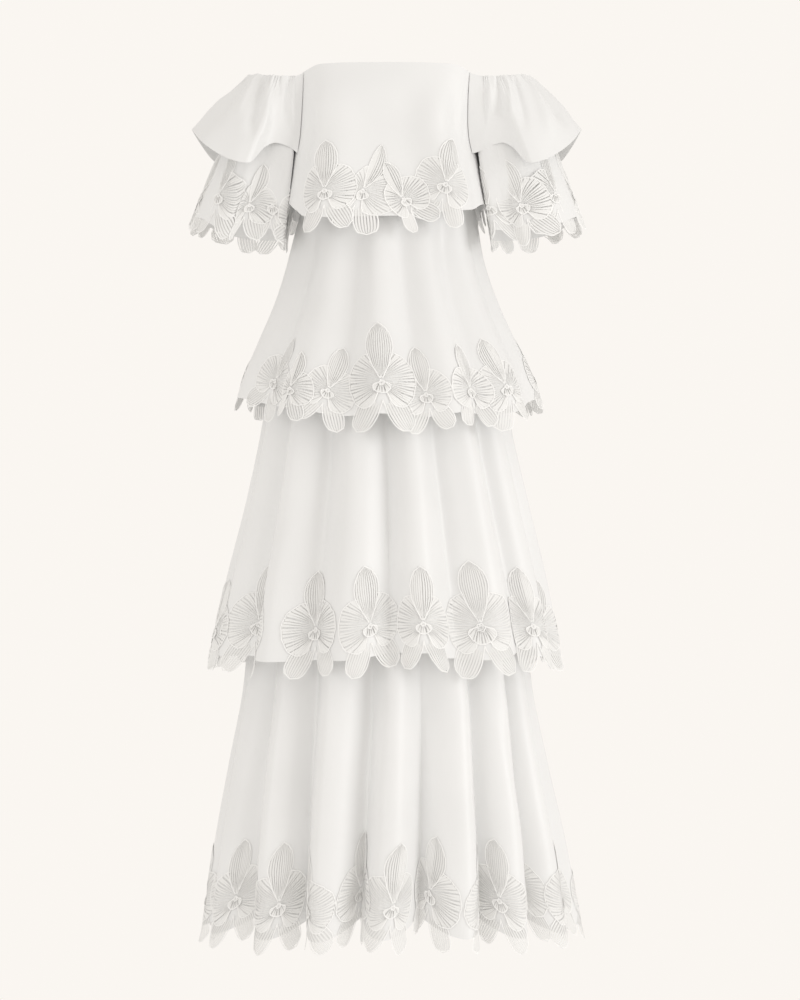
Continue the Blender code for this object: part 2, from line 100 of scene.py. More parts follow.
BODICE_FOLDS = rows(Fold, [
    (-157, -134, 10),
    (-112, -101, 12),
    (-90, -66, 13),
    (-38, -2, 8),
    (36, 64, 8),
    (90, 101, 13),
    (112, 134, 12),
    (157, 180, 10),
])
BODICE_SECTIONS = rows(Section, [
    (0, 141.2, 103.2, 3, 0, -3),
    (60, 134, 111, 2.8, 0, -5),
    (100, 130, 110, 2.6, 0, -6),
    (150, 130, 104, 2.4, 0, -3),
    (190, 130, 98, 2.2, 0, 0),
])
BODICE = Layer("bodice", BODICE_SECTIONS, BODICE_FOLDS, [Hem(0, 190)], 0)

POPOVER_FOLDS = rows(Fold, [
    (-157, -134, 9),
    (-112, -93, 8),
    (-73, -48, 7),
    (-23, 5, 10),
    (33, 56, 9),
    (75, 94, 7),
    (113, 134, 8),
    (157, 180, 9),
])
POPOVER_SECTIONS = rows(Section, [
    (0, 143, 105, 3, 0, -3),
    (50, 139, 118, 2.9, 0.3, -5),
    (100, 137, 125, 2.9, 0.6, -6),
    (150, 141, 130, 3.4, 0.8, -5),
    (240, 154, 137, 4.2, 1, -3),
])
POPOVER_HEM = rows(Hem, [
    (-120, 216), (-90, 213), (-73, 209), (-58, 221), (-42, 233), (-15, 237), (0, 234), (15, 229), (36, 225),
    (54, 220), (73, 210), (90, 213), (120, 216), (180, 225),
])
POPOVER = Layer("popover", POPOVER_SECTIONS, POPOVER_FOLDS, POPOVER_HEM, 0)

TIER_1_SECTIONS = rows(Section, [
    (190, 130, 98, 2.2, 0, 0),
    (232, 137, 104, 2.1, 0.35, -2),
    (286, 146, 112, 2, 0.7, -4),
    (348, 164, 128, 2, 0.9, -3),
    (410, 190, 150, 2, 1, -2),
    (472, 218, 173, 2, 1, 0),
    (530, 236, 190, 2, 1, 1),
])
TIER_1_FOLDS = rows(Fold, [
    (-172, -158, 16),
    (-145, -131, 15),
    (-118, -104, 16),
    (-82, -55, 18),
    (-34, -15.5, 19, -2, -1),
    (-3, 11, 20, 0, -2),
    (24, 38, 19, 2, -1),
    (52, 70, 14, 2),
    (90, 104, 14),
    (118, 131, 16),
    (145, 166, 17),
])
TIER_1_HEM = rows(Hem, [
    (-120, 510), (-90, 500), (-78, 502), (-54, 515), (-34, 523), (-17.6, 535), (-3, 532), (15, 536),
    (26.6, 529), (40, 532), (57, 522), (79, 505), (90, 502), (120, 512), (150, 519), (180, 521), (210, 519),
])
TIER_1 = Layer("tier_1", TIER_1_SECTIONS, TIER_1_FOLDS, TIER_1_HEM, 0)

TIER_2_SECTIONS = rows(Section, [
    (365, 163, 130, 2, 0.2, -3),
    (450, 171, 142, 2, 0.6, -4),
    (550, 184, 155, 2, 0.85, -4),
    (658, 206, 176, 2, 1, -3),
    (782, 236, 200, 2, 1.05, -4),
    (899, 261, 216, 2, 1, -6),
])
TIER_2_FOLDS = rows(Fold, [
    (-168, -155, 28, 3),
    (-142, -129, 30, -3),
    (-116, -103, 27),
    (-90, -79, 24),
    (-66, -52, 27, -3, -2),
    (-39, -25.5, 33, -8, -2),
    (-10.5, 2, 29, -3, -1.5),
    (12.5, 26, 32, 3, -1.5),
    (41, 54, 27, 2, -1.5),
    (65, 78, 22, 2, -1),
    (90, 103, 25),
    (116, 129, 28, 3),
    (142, 154.5, 31),
    (167, 179.5, 28, -3),
])
TIER_2_HEM = rows(Hem, [
    (-90, 898), (-60, 893), (-36, 897), (-14, 893), (-1, 885), (13, 881), (21, 892), (34, 895), (48, 888),
    (63, 894), (90, 899), (120, 896), (150, 900), (180, 895), (210, 900), (240, 895),
])
TIER_2 = Layer("tier_2", TIER_2_SECTIONS, TIER_2_FOLDS, TIER_2_HEM, 2)

TIER_3_SECTIONS = rows(Section, [
    (650, 196, 165, 2, 0.1, -3),
    (830, 204, 173, 2, 0.42, -3),
    (937, 210, 178, 2, 0.64, -2),
    (1061, 231, 192, 2, 0.78, -1),
    (1186, 254, 208, 2, 0.92, 2),
    (1319, 274, 224, 2, 1, 5),
])
TIER_3_FOLDS = rows(Fold, [
    (-178, -168, 52, 5),
    (-157, -146, 56, -5),
    (-135, -124, 54, 4),
    (-113, -101, 46),
    (-90, -78, 40),
    (-66, -52, 44, -3, -4),
    (-38, -28.5, 49, -10, -4),
    (-20, -10.5, 50, -10, 0),
    (-1.5, 8.5, 50, -7, 4),
    (20, 29, 54, 9, 5),
    (39, 50, 49, 6, 7),
    (61, 75, 46, 3, 3),
    (90, 101, 40),
    (113, 125, 50, 5),
    (137, 148, 55),
    (159, 170, 54, -5),
])
TIER_3_HEM = rows(Hem, [
    (-90, 1317), (-60, 1310), (-38, 1304), (-20, 1300), (0, 1294), (20, 1295), (39, 1302), (61, 1308),
    (90, 1317), (135, 1312), (180, 1310), (225, 1312),
])
TIER_3 = Layer("tier_3", TIER_3_SECTIONS, TIER_3_FOLDS, TIER_3_HEM, 26)

TIERS = {
    "tier_1": Tier(190.3),
    "tier_2": Tier(365, TIER_1, 500, 1.0),
    "tier_3": Tier(650, TIER_2, 900, 2.3),
}
# How many even rows a cloth has, and the share of its length that its turned hem takes.
ROWS = {
    "bodice": (12, 0),
    "popover": (30, 0.05),
    "tier_1": (34, 0.03),
    "tier_2": (40, 0.03),
    "tier_3": (44, 0.02),
    "sleeve": (28, 0.05),
    "ruffle": (30, 0.09),
}
# Where the even rows stop and the close ones lie, up from the edge in shares of the turned hem.
EVEN_ROWS_STOP = 1.4
HEM_ROWS = (1.15, 1.05, 0.98, 0.9, 0.6, 0.3, 0.08, 0.0)

# The share of its length over which a crease fades in or out.
CREASE_FADE = 0.3
CREASES = {
    "bodice": [],
    "popover": rows(Crease, [
        (-36, -3, 12, 190, 20, 4.6),
        (-10, 4, 30, 210, 20, -3),
        (5, 0, 25, 236, 20, -5),
        (24, 2, 16, 236, 20, 6.6),
        (41, 3, 14, 190, 15, -3.4),
        (50, -2, 20, 140, 11, 2.4),
        (-150, 8, 20, 190, 20, -2),
        (150, -6, 30, 210, 22, 1.8),
        (174, 4, 15, 160, 18, -1.6),
    ]),
    "tier_1": rows(Crease, [
        (-52, -4, 215, 500, 14, -2.6),
        (-26, 3, 230, 420, 10, -1.6),
        (17, 2, 260, 530, 8, -1.4),
        (45, 3, 240, 520, 10, -2),
        (61, 2, 230, 460, 9, 1.6),
        (130, 6, 215, 470, 14, -2.2),
        (-130, -6, 215, 500, 13, -2),
        (176, 3, 230, 520, 13, 2),
    ]),
    "tier_2": rows(Crease, [
        (-60, 3, 520, 870, 9, -2.6),
        (-33, -4, 470, 780, 8, 2.2),
        (-19, 2, 560, 895, 9, -2.4),
        (5, -3, 500, 760, 8, -2.2),
        (19, 4, 600, 880, 8, 2),
        (33, 3, 520, 895, 9, -2.4),
        (57, 2, 480, 820, 9, 2),
        (72, 4, 560, 880, 9, -2.4),
        (110, 3, 480, 860, 10, -2.6),
        (148, -3, 520, 890, 9, 2.4),
        (178, 3, 480, 780, 10, -2.4),
        (-148, -3, 560, 890, 9, -2.6),
        (-112, 3, 500, 800, 10, 2.4),
    ]),
    "tier_3": rows(Crease, [
        (-58, -4, 760, 1250, 9, -2.8),
        (-43, 2, 820, 1300, 7, 2.4),
        (-6, 2, 780, 1200, 7, -2.6),
        (5, -2, 850, 1290, 7, 2.2),
        (15, 3, 800, 1280, 7, 2.6),
        (45, 4, 760, 1180, 8, -2.8),
        (67, 3, 820, 1290, 9, 2.6),
        (80, -2, 780, 1200, 9, -2.6),
        (118, 3, 800, 1290, 9, -3),
        (154, -3, 760, 1200, 8, 2.6),
        (-168, 3, 800, 1290, 8, -2.8),
        (-128, -3, 780, 1240, 9, 2.6),
        (-97, 2, 820, 1290, 9, -2.6),
    ]),
}

ARM_X = 158.0
ELASTIC_HALF_WIDTH = 55.4
ELASTIC_HALF_DEPTH = 73.4
ELASTIC_DROP = 15.0
ELASTIC_OUTER_RISE = 12.0
ELASTIC_END = 110.0
SLEEVE_FOLDS = 8
SLEEVE_FOLD_DEPTH = 4.0
SLEEVE_STANDOFF = 0.5
SLEEVE_CLEARANCE = 1.5
SLEEVE_TUCK = {"left": 4.5, "right": 6.0}
TUCK_TURN = 128.0
TUCK_REACH = 15.0
SLEEVE_BACK = rows(Station, [
    (-180, 161, 0, 254),
    (-158, 161, 44, 250),
    (-128, 161, 80, 248),
    (-90, 226, 98, 243),
    (-45, 284, 68, 227),
])
SLEEVE_HEM = {
    "left": SLEEVE_BACK + rows(Station, [
        (0, 301, 0, 220),
        (45, 282, -66, 231),
        (65, 257, -88, 247),
        (73, 245, -91, 252),
        (84, 226, -83, 240),
        (97, 206, -77, 239),
        (112, 189, -77, 244),
        (126, 168, -86, 252),
        (139, 158, -82, 256),
        (151, 162, -60, 258),
        (166, 161.5, -26, 256),
        (180, 161, 0, 254),
    ]),
    "right": SLEEVE_BACK + rows(Station, [
        (0, 301, 0, 219),
        (40, 287, -60, 228),
        (66, 256, -84, 241),
        (84, 228, -92, 248),
        (100, 205, -90, 252),
        (115, 187, -82, 251),
        (129, 165, -86, 250),
        (141, 154, -82, 251),
        (153, 158, -60, 253),
        (166, 159, -28, 254),
        (180, 161, 0, 254),
    ]),
}
# The elastic draws the ruffle into uneven pleats. Their place wanders by PLEAT_WANDER of one, in waves of
# this number, share and start along the ruffle, and their strength varies in waves too.
PLEATS = 46
PLEAT_DEPTH = 1.5
PLEAT_WANDER = 0.9
PLEAT_WANDERS = ((5, 1, 0), (11.3, 0.6, 1))
PLEAT_STRENGTH = 0.65
PLEAT_VARIES = 0.35
PLEAT_VARIES_WAVES = 7
PLEAT_REACH = 0.13
PLEAT_FALL = 1.4
RUFFLE_STANDOFF = 4.0
RUFFLE_BULGE = 3.5
RUFFLE_END_SHARE = 1 / 64
RUFFLE_FRONT_END = (56.5, 66.0)
RUFFLE_BACK_END = (56.5, 60.0)
RUFFLE_HEM = rows(Station, [
    (-135, 138, 74, 132),
    (-124, 158, 84, 120),
    (-112, 180, 97, 115),
    (-104, 196, 112, 132),
    (-92, 215, 121, 148),
    (-80, 237, 116, 143),
    (-45, 281, 84, 116),
    (0, 303, 2, 85),
    (45, 283, -80, 114),
    (70, 252, -105, 139),
    (88, 226, -117, 151),
    (96, 215, -118, 153),
    (101, 208, -114, 152),
    (105, 202, -107, 146),
    (109, 195, -99, 136),
    (114, 186, -91, 125),
    (121, 171, -84, 118),
    (128, 151, -77, 123),
    (135, 139, -72, 132),
])
# A soft fold of the ruffle, in percent: from a place along its top, drifting on as it falls from top to
# bottom. A ridge has a positive depth in millimetres, a trough a negative one.
Drape = namedtuple("Drape", "place drift top bottom width depth")
RUFFLE_DRAPES = {
    "left": rows(Drape, [
        (77, 7.5, 0, 80, 2.5, -7.6),
        (83.5, 6, 0, 70, 1.5, 3),
        (94, 4, 0, 80, 1.5, -4.5),
        (97, 1, 0, 60, 1.1, 2),
        (71, 4, 0, 60, 1.9, 3.4),
        (64, 4, 0, 90, 3, -4.2),
        (56, 2, 30, 92, 3.5, 3),
        (80.5, 5, 0, 35, 1, 2.2),
        (88, 4, 0, 30, 0.9, -2),
        (86, 4, 40, 80, 2.6, 1.6),
        (44, -4, 0, 80, 2.6, -3),
        (36, -6, 0, 100, 3, 3),
        (25, -7, 0, 90, 2.6, -4.5),
        (15, -8, 5, 100, 2.4, 3),
        (7, -4, 0, 70, 1.5, -2.8),
    ]),
    "right": rows(Drape, [
        (59, 7, 0, 90, 3, -6.5),
        (67, 8, 4, 92, 2.8, 5),
        (76, 8, 0, 70, 1.8, -4.5),
        (82, 6, 0, 55, 1.6, 3.4),
        (88.5, 7, 0, 72, 1.6, -4.5),
        (94, 3, 4, 80, 1.3, 3),
        (98, 0, 0, 75, 1.1, -3),
        (51, 3, 0, 90, 2.6, 3.4),
        (44, -3, 0, 70, 2.2, -3),
        (38, -6, 0, 95, 2.8, 2.6),
        (28, -8, 0, 85, 2.4, -4.2),
        (18, -7, 5, 100, 2.6, 3.2),
        (9, -5, 0, 75, 1.6, -3),
    ]),
}
SLEEVE_DRAPES = {
    "left": rows(Drape, [
        (70, -1, 30, 100, 2.6, -1.6),
        (80, 3, 20, 90, 3, 2.6),
        (60, 2, 35, 100, 3, 1.4),
        (30, -3, 20, 100, 2.8, -3),
    ]),
    "right": rows(Drape, [
        (70, 2, 30, 95, 2.8, -1.8),
        (80, 3, 20, 90, 2.8, 2.4),
        (60, 2, 35, 100, 2.8, 1.6),
        (28, -3, 20, 100, 2.8, -3),
    ]),
}
# A drape that starts at the top is eased in this far there. It fades over shares of its length, and its
# width grows from a share of its own by another.
DRAPE_AT_TOP = 0.4
DRAPE_FADE_IN = 0.25
DRAPE_FADE_OUT = 0.4
DRAPE_NARROW = 0.75
DRAPE_GROWTH = 0.5
# How far each arm's cloth reaches out from the elastic, against its tables.
REACH = {"left": 1.03, "right": 0.95}


def smooth(xs, ys, at):
    """Monotone cubic curve through the points (xs, ys), read at the values at. Its tangent at a point is
    the harmonic mean of the slopes on both sides, or level where they differ in sign."""
    xs, ys, at = (np.asarray(values, float) for values in (xs, ys, at))
    steps = np.diff(xs)
    slopes = np.diff(ys) / steps
    tangents = np.empty(len(xs))
    tangents[0], tangents[-1] = slopes[0], slopes[-1]
    product = slopes[:-1] * slopes[1:]
    total = slopes[:-1] + slopes[1:]
    tangents[1:-1] = np.where(product > 0, 2 * product / np.where(product > 0, total, 1), 0)
    i = np.clip(np.searchsorted(xs, at) - 1, 0, len(steps) - 1)
    t = np.clip((at - xs[i]) / steps[i], 0, 1)
    rise = ys[i] * (1 - t) ** 2 * (1 + 2 * t) + ys[i + 1] * t**2 * (3 - 2 * t)
    return rise + steps[i] * t * (1 - t) * (tangents[i] * (1 - t) - tangents[i + 1] * t)


def ease(share):
    """A share that starts and ends gently: 3 t squared less 2 t cubed, held to 0 and 1 outside."""
    t = np.clip(share, 0, 1)
    return t * t * (3 - 2 * t)


def squared_ellipse(azimuth, half_width, half_depth, squareness):
    """Plan point at an azimuth in degrees, 0 at the front and positive towards +X: the half-width by the
    sine and the half-depth by the cosine, each to the power of 2 over the squareness."""
    angle = np.radians(azimuth)
    power = 2 / squareness
    sine, cosine = np.sin(angle), np.cos(angle)
    x = half_width * np.sign(sine) * np.abs(sine) ** power
    y = -half_depth * np.sign(cosine) * np.abs(cosine) ** power
    return x, y


def section_at(sections, drop):
    """Half-width, half-depth, squareness, gain and sway at each drop."""
    drops = [section.drop for section in sections]
    return [smooth(drops, [getattr(section, name) for section in sections], drop)
            for name in Section._fields[1:]]


def fold_azimuths(folds, turn):
    """Azimuth at a turn along the ring: whole turns are the ridges, and half turns the valleys."""
    once = [azimuth for fold in folds for azimuth in (fold.ridge, fold.valley)]
    around = [azimuth + 360 * lap for lap in (-1, 0, 1) for azimuth in once]
    return smooth(np.arange(-2 * len(folds), 4 * len(folds)) / 2, around, turn)


def fold_values(folds, name, turn):
    """A fold's depth or lean, carried smoothly from ridge to ridge."""
    values = [getattr(fold, name) for fold in folds] * 3
    return smooth(np.arange(-len(folds), 2 * len(folds)), values, turn)


def fold_turns(folds, azimuth):
    """The turn along the ring at an azimuth: the inverse of fold_azimuths."""
    turns = np.linspace(-2, len(folds) + 5, 60 * len(folds))
    return np.interp(azimuth, fold_azimuths(folds, turns), turns)


def drifted(layer, turn, drop):
    """Azimuth of a turn at a drop: as at the hem, with the folds' drift added on the way up."""
    rise = np.clip((layer.hem[0].drop - drop) / DRIFT_HEIGHT, 0, DRIFT_LIMIT)
    return fold_azimuths(layer.folds, turn) + fold_values(layer.folds, "drift", turn) * rise


def crease_depths(layer, azimuth, drop):
    """Sum of the layer's creases: each is a bell across its line, eased in at both of its ends."""
    radius = section_at(layer.sections, drop)[1]
    total = np.zeros(np.broadcast(azimuth, drop).shape)
    for crease in CREASES[layer.name]:
        along = (drop - crease.top) / (crease.bottom - crease.top)
        line = crease.azimuth + crease.drift * np.clip(along, 0, 1)
        apart = (azimuth - line + 180) % 360 - 180
        across = np.radians(apart) * radius / crease.width
        reaches_hem = crease.bottom >= layer.hem[0].drop
        fading = ease(along / CREASE_FADE) * (1 if reaches_hem else ease((1 - along) / CREASE_FADE))
        total = total + crease.depth * np.exp(-(across**2)) * fading
    return total


def layer_points(layer, turn, drop, moved=0.0):
    """Points on a layer's outer face: the squared ellipse at each drop, with its folds' wave across it."""
    half_width, half_depth, squareness, gain, sway = section_at(layer.sections, drop)
    azimuth = drifted(layer, turn, drop)
    x, y = squared_ellipse(azimuth, half_width, half_depth, squareness)
    angle = np.radians(azimuth)
    out = np.stack(np.broadcast_arrays(half_depth * np.sin(angle), -half_width * np.cos(angle)))
    out_x, out_y = out / np.linalg.norm(out, axis=0)
    wave, swing = np.cos(2 * np.pi * turn), np.sin(2 * np.pi * turn)
    depth = fold_values(layer.folds, "depth", turn)
    lean = fold_values(layer.folds, "lean", turn)
    outward = depth / 2 * wave * gain + moved
    sideways = (RIDGE_BROADENING * depth * swing + lean * (1 + wave) / 2) * gain
    x = x + sway + out_x * outward - out_y * sideways
    y = y + out_y * outward + out_x * sideways
    return np.stack(np.broadcast_arrays(x, y, GRIP_DROP - drop), axis=-1)


def creased(layer, turn, drop):
    """The layer's points with its creases."""
    depths = crease_depths(layer, drifted(layer, turn, drop), drop)
    return layer_points(layer, turn, drop, depths)


def hem_drops(layer, turn):
    """The hem's drop by azimuth, less a rise in the valleys."""
    around = [hem.azimuth + 360 * lap for lap in (-1, 0, 1) for hem in layer.hem]
    drops = smooth(around, [hem.drop for hem in layer.hem] * 3, fold_azimuths(layer.folds, turn))
    return drops - layer.valley_rise * (1 - np.cos(2 * np.pi * turn)) / 2


def neck_drops(azimuth):
    """The top edge: the straight neckline, its sloped corners, and the armholes under each arm."""
    top = POPOVER.sections[0]
    x, _ = squared_ellipse(azimuth, top.half_width, top.half_depth, top.squareness)
    to_corner = ease((np.abs(x) - NECK_SLOPE_START) / (NECK_CORNER - NECK_SLOPE_START))
    from_side = np.abs(np.abs((azimuth + 180) % 360 - 180) - SIDE_SEAM) / (SIDE_SEAM - ARMHOLE_AZIMUTH)
    into_armhole = np.cos(np.radians(90 * np.clip(from_side, 0, 1)))
    return NECK_CORNER_DROP * to_corner + (UNDERARM_DROP - NECK_CORNER_DROP) * into_armhole


def row_shares(kind):
    """Shares of the way down a kind of panel: even rows, and close ones over its turned hem."""
    count, hem_share = ROWS[kind]
    even = np.linspace(0, 1 - EVEN_ROWS_STOP * hem_share, count)
    if not hem_share:
        return even
    close = 1 - hem_share * np.array(HEM_ROWS)
    return np.concatenate([even, close])


def normals(grid, closed):
    """Outward unit normals of a grid: the cross of its slopes down and along."""
    if closed:
        along = np.roll(grid, -1, axis=0) - np.roll(grid, 1, axis=0)
    else:
        along = np.gradient(grid, axis=0)
    facing = np.cross(np.gradient(grid, axis=1), along)
    return facing / np.linalg.norm(facing, axis=-1, keepdims=True)


def mesh_object(name, points, faces, uv, sharpest, finish):
    """A mesh from points in millimetres, with a map, and smooth where it turns less than sharpest."""
    mesh = bpy.data.meshes.new(name)
    mesh.from_pydata((points * MM).tolist(), [], faces)
    corners = np.empty(len(mesh.loops), np.int32)
    mesh.loops.foreach_get("vertex_index", corners)
    mesh.uv_layers.new(name="map").data.foreach_set("uv", uv[corners].astype(np.float32).ravel())
    mesh.shade_smooth()
    mesh.set_sharp_from_angle(angle=np.radians(sharpest))
    mesh.materials.append(finish)
    made = bpy.data.objects.new(name, mesh)
    bpy.context.scene.collection.objects.link(made)
    return made


def shell(name, outer, closed, finish, facing=None):
    """Thin cloth: the outer grid, an inner one a shell's thickness in, and rims between their edges. Its
    map is in metres along the ring and down the drop."""
    if facing is None:
        facing = normals(outer, closed)
    inner = outer - facing * SHELL
    across, down = outer.shape[:2]
    at = np.arange(across * down).reshape(across, down)
    after = np.roll(at, -1, axis=0) if closed else at[1:]
    before = at if closed else at[:-1]
    skin = np.stack([before[:, :-1], before[:, 1:], after[:, 1:], after[:, :-1]], axis=-1).reshape(-1, 4)
    back = at.size
    faces = [
        skin,
        skin[:, ::-1] + back,
        np.stack([before[:, 0] + back, before[:, 0], after[:, 0], after[:, 0] + back], axis=1),
        np.stack([before[:, -1], before[:, -1] + back, after[:, -1] + back, after[:, -1]], axis=1),
    ]
    if not closed:
        faces.append(np.stack([at[0, :-1], at[0, :-1] + back, at[0, 1:] + back, at[0, 1:]], axis=1))
        faces.append(np.stack([at[-1, :-1] + back, at[-1, :-1], at[-1, 1:], at[-1, 1:] + back], axis=1))
    middle = outer[:, down // 2]
    width = np.linalg.norm(np.diff(middle, axis=0, prepend=middle[:1]), axis=-1).cumsum()
    fall = np.linalg.norm(np.diff(outer, axis=1, prepend=outer[:, :1]), axis=-1).cumsum(axis=1)
    uv = np.stack([np.broadcast_to(width[:, None], fall.shape), -fall], axis=-1).reshape(-1, 2)
    points = np.concatenate([outer.reshape(-1, 3), inner.reshape(-1, 3)])
    maps = np.concatenate([uv, uv]) * MM
    return mesh_object(name, points, np.concatenate(faces).tolist(), maps, CLOTH_SHARPEST, finish)


def ring_turns(layer):
    """Turns round a ring from its left side seam, and how many of its columns are the front's."""
    left, right, again = fold_turns(layer.folds, np.array([-SIDE_SEAM, SIDE_SEAM, 360 - SIDE_SEAM]))
    front = round((right - left) * COLUMNS_PER_FOLD)
    back = round((again - right) * COLUMNS_PER_FOLD)
    turns = [np.linspace(left, right, front, endpoint=False), np.linspace(right, again, back, endpoint=False)]
    return np.concatenate(turns)[:, None], front


def halves(layer, finish):
    """The front and the back of a layer, parted at the side seams, which are pinched in a little."""
    turn, front = ring_turns(layer)
    grid_of = tier_grid if layer.name in TIERS else bodice_grid
    grid = grid_of(layer, turn, row_shares(layer.name))
    facing = normals(grid, closed=True)
    made = {}
    for half, start, end in (("front", 0, front), ("back", front, len(grid))):
        picked = np.arange(start, end + 1) % len(grid)
        outer, out = grid[picked], facing[picked]
        outer[[0, -1]] -= out[[0, -1]] * SEAM_PINCH
        name = f"{layer.name}_{half}"
        made[name] = shell(f"{name}_cloth", outer, False, finish, out)
    return made


def bodice_grid(layer, turn, shares):
    """A layer from the neckline and the armholes down to its hem, in rows at shares of the way."""
    top = neck_drops(fold_azimuths(layer.folds, turn))
    return creased(layer, turn, top + (hem_drops(layer, turn) - top) * shares[None])


def tier_grid(layer, turn, shares):
    """A skirt tier from its seam to its hem. A lower tier's top leaves the inside of the tier above."""
    tier = TIERS[layer.name]
    drop = tier.seam + (hem_drops(layer, turn) - tier.seam) * shares[None]
    grid = creased(layer, turn, drop)
    if tier.above:
        beside = fold_turns(tier.above.folds, fold_azimuths(layer.folds, turn))
        sewn = layer_points(tier.above, beside, drop, -(CLOTH + SEAM_GAP + tier.ease_in))
        own = np.clip((drop - tier.seam) / (tier.free - tier.seam), 0, 1)[..., None]
        grid = sewn * (1 - own) + grid * own
    return grid


def elastic_edge(turn, standoff):
    """The gathered neckline edge round the arm: a half ellipse that rises towards its outer side."""
    angle = np.radians(turn)
    x = ARM_X + (ELASTIC_HALF_WIDTH + standoff) * np.cos(angle)
    y = -(ELASTIC_HALF_DEPTH + standoff) * np.sin(angle)
    drop = ELASTIC_DROP - ELASTIC_OUTER_RISE * np.clip(np.cos(angle), 0, 1) ** 2
    return np.stack([x, y, GRIP_DROP - drop], axis=-1)


def beside_popover(azimuth, drop, standoff, side):
    """Points beside the popover, off its outer face. Those of its -X side are mirrored to +X."""
    facing = -1 if side == "left" else 1
    points = layer_points(POPOVER, fold_turns(POPOVER.folds, facing * azimuth), drop, standoff)
    return points * [facing, 1, 1]


def hem_curve(stations, turn):
    """The hem through its stations, in plan and drop."""
    turns = [station.turn for station in stations]
    x, y, drop = (smooth(turns, [getattr(station, name) for station in stations], turn)
                  for name in ("x", "y", "drop"))
    return np.stack([x, y, GRIP_DROP - drop], axis=-1)


def mirrored(points, side):
    """Points of the +X arm, stretched out from the elastic by that side's reach, and mirrored for -X."""
    points = points.copy()
    past_elastic = np.clip(points[..., 0] - ARM_X - ELASTIC_HALF_WIDTH, 0, None)
    points[..., 0] += past_elastic * (REACH[side] - 1)
    points[..., 0] *= -1 if side == "left" else 1
    return points


def sleeve_points(turn, share, side):
    """The flounce of a sleeve: straight lines from the elastic and the armhole down to its waved hem. Half
    way down, its front corner is tucked in beside the popover."""
    inner = np.clip((np.abs(turn) - ELASTIC_END) / (180 - ELASTIC_END), 0, 1)
    towards = np.where(turn > 0, -1, 1) * (1 - inner)
    azimuth = SIDE_SEAM + towards * (SIDE_SEAM - ARMHOLE_AZIMUTH)
    on_armhole = beside_popover(azimuth, neck_drops(azimuth), SLEEVE_STANDOFF, side)
    top = np.where(inner[:, None] > 0, on_armhole, elastic_edge(turn, 0.0))
    hem = hem_curve(SLEEVE_HEM[side], turn)
    along = np.gradient(hem, axis=0)
    out = np.stack([-along[:, 1], along[:, 0], 0 * turn], axis=-1)
    out /= -np.linalg.norm(out, axis=-1, keepdims=True)
    outer_side = np.cos(np.radians(turn / 2)) ** 2
    wave = np.cos(SLEEVE_FOLDS * np.radians(turn)) * SLEEVE_FOLD_DEPTH / 2 * outer_side
    hem = hem + out * wave[:, None]
    points = top[:, None] * (1 - share[..., None]) + hem[:, None] * share[..., None]
    tuck = SLEEVE_TUCK[side] * np.exp(-(((turn - TUCK_TURN) / TUCK_REACH) ** 2))
    half_way = np.sin(np.pi * np.clip(share, 0, 1))
    points[..., 0] += half_way * (SLEEVE_CLEARANCE * inner - tuck)[:, None]
    return mirrored(points, side)


def ruffle_points(place, share, side):
    """The ruffle over a sleeve, at a place from end to end: gathered along the elastic, it falls to its
    hem with a slight belly, and its ends run into the armhole seams."""
    middle = 2 * place - 1
    turn = RUFFLE_HEM[-1].turn * middle
    top = elastic_edge(ELASTIC_END * middle, RUFFLE_STANDOFF)
    hem = hem_curve(RUFFLE_HEM, turn)
    points = top[:, None] * (1 - share[..., None]) + hem[:, None] * share[..., None]
    outward = RUFFLE_BULGE * np.sin(np.pi * share)
    points[..., 0] += np.cos(np.radians(turn))[:, None] * outward
    points[..., 1] -= np.sin(np.radians(turn))[:, None] * outward
    drop = NECK_CORNER_DROP + (RUFFLE_HEM[0].drop - NECK_CORNER_DROP) * share
    front_end = RUFFLE_FRONT_END[0] + np.ptp(RUFFLE_FRONT_END) * share
    back_end = 180 - RUFFLE_BACK_END[0] - np.ptp(RUFFLE_BACK_END) * share
    for azimuth, away in ((back_end, place), (front_end, 1 - place)):
        sewn = np.clip(1 - away / RUFFLE_END_SHARE, 0, 1)[:, None, None]
        points = points * (1 - sewn) + beside_popover(azimuth, drop, CLOTH, side) * sewn
    return mirrored(points, side)


def drape_depths(drapes, place, share):
    """Sum of a sleeve's drapes: each is a bell across its line, and grows wider as it falls."""
    total = np.zeros((len(place), share.shape[-1]))
    for drape in drapes:
        along = (100 * share - drape.top) / (drape.bottom - drape.top)
        falling = np.clip(along, 0, 1)
        across = (100 * place[:, None] - drape.place - drape.drift * falling) / drape.width
        at_top = ease(DRAPE_AT_TOP + along / DRAPE_FADE_IN)
        starting = at_top if drape.top == 0 else ease(along / CREASE_FADE)
        ending = 1 if drape.bottom == 100 else ease((1 - along) / DRAPE_FADE_OUT)
        width = DRAPE_NARROW + DRAPE_GROWTH * falling
        total += drape.depth * np.exp(-((across / width) ** 2)) * starting * ending
    return total


def pleat_depths(place, share):
    """The small pleats at the elastic: waves of uneven pitch and depth, which die out within PLEAT_REACH."""
    wander = sum(size * np.sin(2 * np.pi * waves * place + start) for waves, size, start in PLEAT_WANDERS)
    wave = np.cos(2 * np.pi * (PLEATS * place + PLEAT_WANDER * wander))
    strength = PLEAT_STRENGTH + PLEAT_VARIES * np.sin(2 * np.pi * PLEAT_VARIES_WAVES * place + 2)
    return PLEAT_DEPTH * (wave * strength)[:, None] * np.exp(-((share / PLEAT_REACH) ** PLEAT_FALL))


def in_order(grid, side):
    """The columns run from the back round to the front, so the +X side's are reversed to face out."""
    return grid if side == "left" else grid[::-1]


